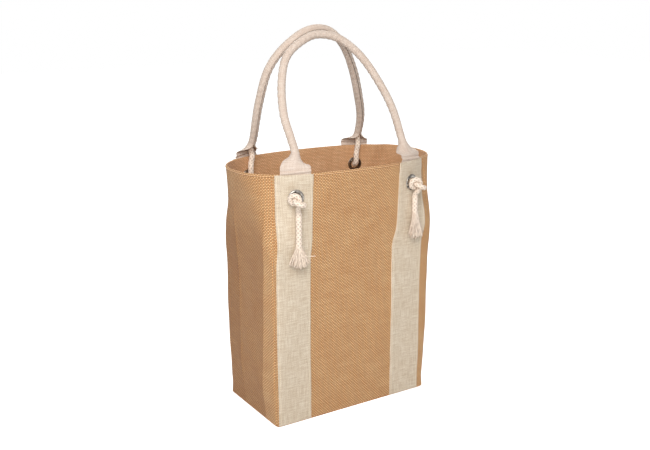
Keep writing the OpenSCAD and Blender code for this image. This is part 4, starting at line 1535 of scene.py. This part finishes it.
@dataclass(frozen=True)
class Studio:
    """A pale floor, soft light and the camera at the photograph's place."""

    place: tuple[float, float, float] = (-0.7643, -1.1911, 0.6684)
    heading: float = 32.5
    tilt: float = 15.0
    lens: float = 49.74
    sensor: float = 36
    ambient: float = 0.36
    middle: tuple[float, float, float] = (0, 0, 0.25)
    floor_reach: float = 6.0
    floor_drop: float = 0.2 * MM
    floor_grey: float = 0.8
    floor_glow: float = 0.8

    def build(self) -> None:
        """Set the stage."""
        self._camera()
        self._floor()
        self._world()
        self._lamp("key", size=1.0, heading=-35, height=36, distance=1.6, level=0.86)
        self._lamp("back_light", size=1.6, heading=138, height=42, distance=2.6, level=0.4)
        bpy.context.scene.view_settings.view_transform = "Standard"

    def _camera(self) -> None:
        """Place the camera."""
        data = bpy.data.cameras.new("camera")
        data.lens, data.sensor_width = self.lens, self.sensor
        camera = bpy.data.objects.new("camera", data)
        camera.location = self.place
        camera.rotation_euler = (math.radians(90 - self.tilt), 0, math.radians(-self.heading))
        bpy.context.scene.collection.objects.link(camera)
        bpy.context.scene.camera = camera

    def _lamp(self, name: str, size: float, heading: float, height: float, distance: float, level: float) -> None:
        """Add a soft square lamp that faces the bag's middle.

        Args:
            name: the lamp's name.
            size: its side.
            heading: where it stands round the bag, in degrees to the right of the front.
            height: its angle above the level.
            distance: how far it stands from the bag's middle.
            level: how brightly it lights a surface that faces it, where 1 shows colours as they are.
        """
        turn, rise = math.radians(heading), math.radians(height)
        way = Vector((math.sin(turn) * math.cos(rise), -math.cos(turn) * math.cos(rise), math.sin(rise)))
        data = bpy.data.lights.new(name, "AREA")
        data.size, data.energy = size, level * (math.pi * distance) ** 2
        lamp = bpy.data.objects.new(name, data)
        lamp.location = Vector(self.middle) + way * distance
        lamp.rotation_euler = way.to_track_quat("Z", "Y").to_euler()
        bpy.context.scene.collection.objects.link(lamp)

    def _floor(self) -> None:
        """Lay a pale floor that shows white to the camera and keeps soft shadows."""
        data = bpy.data.meshes.new("floor")
        corners = [(x * self.floor_reach, y * self.floor_reach, 0) for x, y in ((-1, -1), (1, -1), (1, 1), (-1, 1))]
        data.from_pydata(corners, [], [(0, 1, 2, 3)])
        floor = bpy.data.objects.new("floor", data)
        floor.location.z = -self.floor_drop
        bpy.context.scene.collection.objects.link(floor)
        shader = Shader("pale_floor")
        glow = shader.add("ShaderNodeEmission", {}, {"Color": (1, 1, 1, 1), "Strength": self.floor_glow})
        matt = shader.add("ShaderNodeBsdfDiffuse", {}, {"Color": (*[self.floor_grey] * 3, 1)})
        both = shader.add("ShaderNodeAddShader", {}, {0: glow, 1: matt})
        surface = shader.add("ShaderNodeMixShader", {}, {0: shader.shown(), 1: matt, 2: both})
        shader.add("ShaderNodeOutputMaterial", {}, {"Surface": surface})
        data.materials.append(shader.owner)

    def _world(self) -> None:
        """Fill the air with even light and show white behind the bag."""
        bpy.context.scene.world = bpy.data.worlds.new("studio")
        shader = Shader("studio", bpy.context.scene.world)
        levels = {"Value": shader.shown(), "To Min": self.ambient, "To Max": 1.0}
        strength = shader.add("ShaderNodeMapRange", {}, levels)
        background = shader.add("ShaderNodeBackground", {}, {"Color": (1, 1, 1, 1), "Strength": strength})
        shader.add("ShaderNodeOutputWorld", {}, {"Surface": background})


# The handles' paths, the knots and the hard pieces

FRONT_PATH_SHARES = (
    (-1, 0), (-0.98, 0.05), (-0.945, 0.13), (-0.97, 0.24), (-1.01, 0.42), (-0.945, 0.65),
    (-0.77, 0.85), (-0.4, 0.975), (-0.11, 1), (0.21, 0.95), (0.52, 0.8), (0.76, 0.57),
    (0.89, 0.37), (0.945, 0.14), (0.98, 0.05), (1, 0),
)
BACK_PATH_SHARES = (
    (-1, 0), (-0.98, 0.05), (-0.955, 0.14), (-0.96, 0.28), (-0.955, 0.44), (-0.9, 0.67),
    (-0.73, 0.83), (-0.44, 0.96), (-0.16, 1), (0.11, 0.965), (0.39, 0.845), (0.64, 0.655),
    (0.85, 0.43), (0.99, 0.24), (1.02, 0.06), (1, 0),
)

KNOT_SHARES = (
    (-0.021, -0.011, -0.782), (-0.085, 0.085, -0.388), (-0.223, 0.053, -0.005), (-0.372, 0.021, 0.378),
    (-0.543, -0.032, 0.739), (-0.66, -0.138, 1.122), (-0.628, -0.255, 1.505), (-0.415, -0.404, 1.814),
    (-0.074, -0.553, 1.973), (0.309, -0.681, 1.931), (0.628, -0.766, 1.697), (0.798, -0.809, 1.335),
    (0.777, -0.798, 0.931), (0.574, -0.777, 0.58), (0.245, -0.766, 0.346), (-0.149, -0.787, 0.239),
    (-0.553, -0.734, 0.197), (-0.915, -0.532, 0.197), (-1.149, -0.213, 0.25), (-1.223, 0.16, 0.378),
    (-1.106, 0.5, 0.58), (-0.84, 0.702, 0.803), (-0.489, 0.713, 1.016), (-0.16, 0.532, 1.176),
    (0.064, 0.191, 1.239), (0.117, -0.202, 1.229), (0.053, -0.606, 1.176), (-0.021, -0.989, 1.069),
    (-0.021, -1.34, 0.846), (0.021, -1.606, 0.537), (0.074, -1.883, 0.239),
)
KNOT_END_SHARES = (0.21, -2.62)
FRONT_FRAYS = (29 * MM, 42 * MM)
BACK_FRAYS = (29 * MM, 29 * MM)


@dataclass(frozen=True)
class HardPieces:
    """The eyelets, washers, dividers and board, which keep their own shapes."""

    builder: Builder
    finishes: tuple[tuple[str, Finish], ...] = (
        ("eyelet", Finish.STEEL), ("washer", Finish.STEEL), ("divider", Finish.DIVIDER), ("base_board", Finish.BOARD),
    )

    def dress(self) -> None:
        """Give each piece its finish."""
        for piece in bpy.context.scene.objects:
            for kind, finish in self.finishes:
                if kind in piece.get("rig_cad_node", ""):
                    self.builder.dress(piece, finish)
                    LOG.info("dressed %s", piece.name)


def main() -> None:
    """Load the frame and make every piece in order."""
    logging.basicConfig(level=logging.INFO, format="%(message)s")
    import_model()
    Studio().build()
    builder = Builder()
    low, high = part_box("base_panel")
    wall = Wall(
        height=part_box("front_panel")[1].z,
        base_length=high.x - low.x,
        base_depth=high.y - low.y,
        rim_length=2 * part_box("right_gusset")[1].x,
        rim_depth=2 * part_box("back_panel")[1].y,
    )
    bag = Bag(builder, wall)
    bag.build()
    Handle(
        builder,
        bag,
        "front",
        bag.front_shift,
        rise=202 * MM,
        drop=35 * MM,
        path_shares=FRONT_PATH_SHARES,
        fray_lengths=FRONT_FRAYS,
        roll_height=30 * MM,
    ).build()
    Handle(
        builder,
        bag,
        "back",
        bag.back_shift,
        rise=210 * MM,
        drop=33 * MM,
        path_shares=BACK_PATH_SHARES,
        fray_lengths=BACK_FRAYS,
        roll_height=20 * MM,
        slant=5 * MM,
        slack=(0.1, 0.2),
    ).build()
    HardPieces(builder).dress()
    LOG.info("sizes written")


if __name__ == "__main__":
    main()
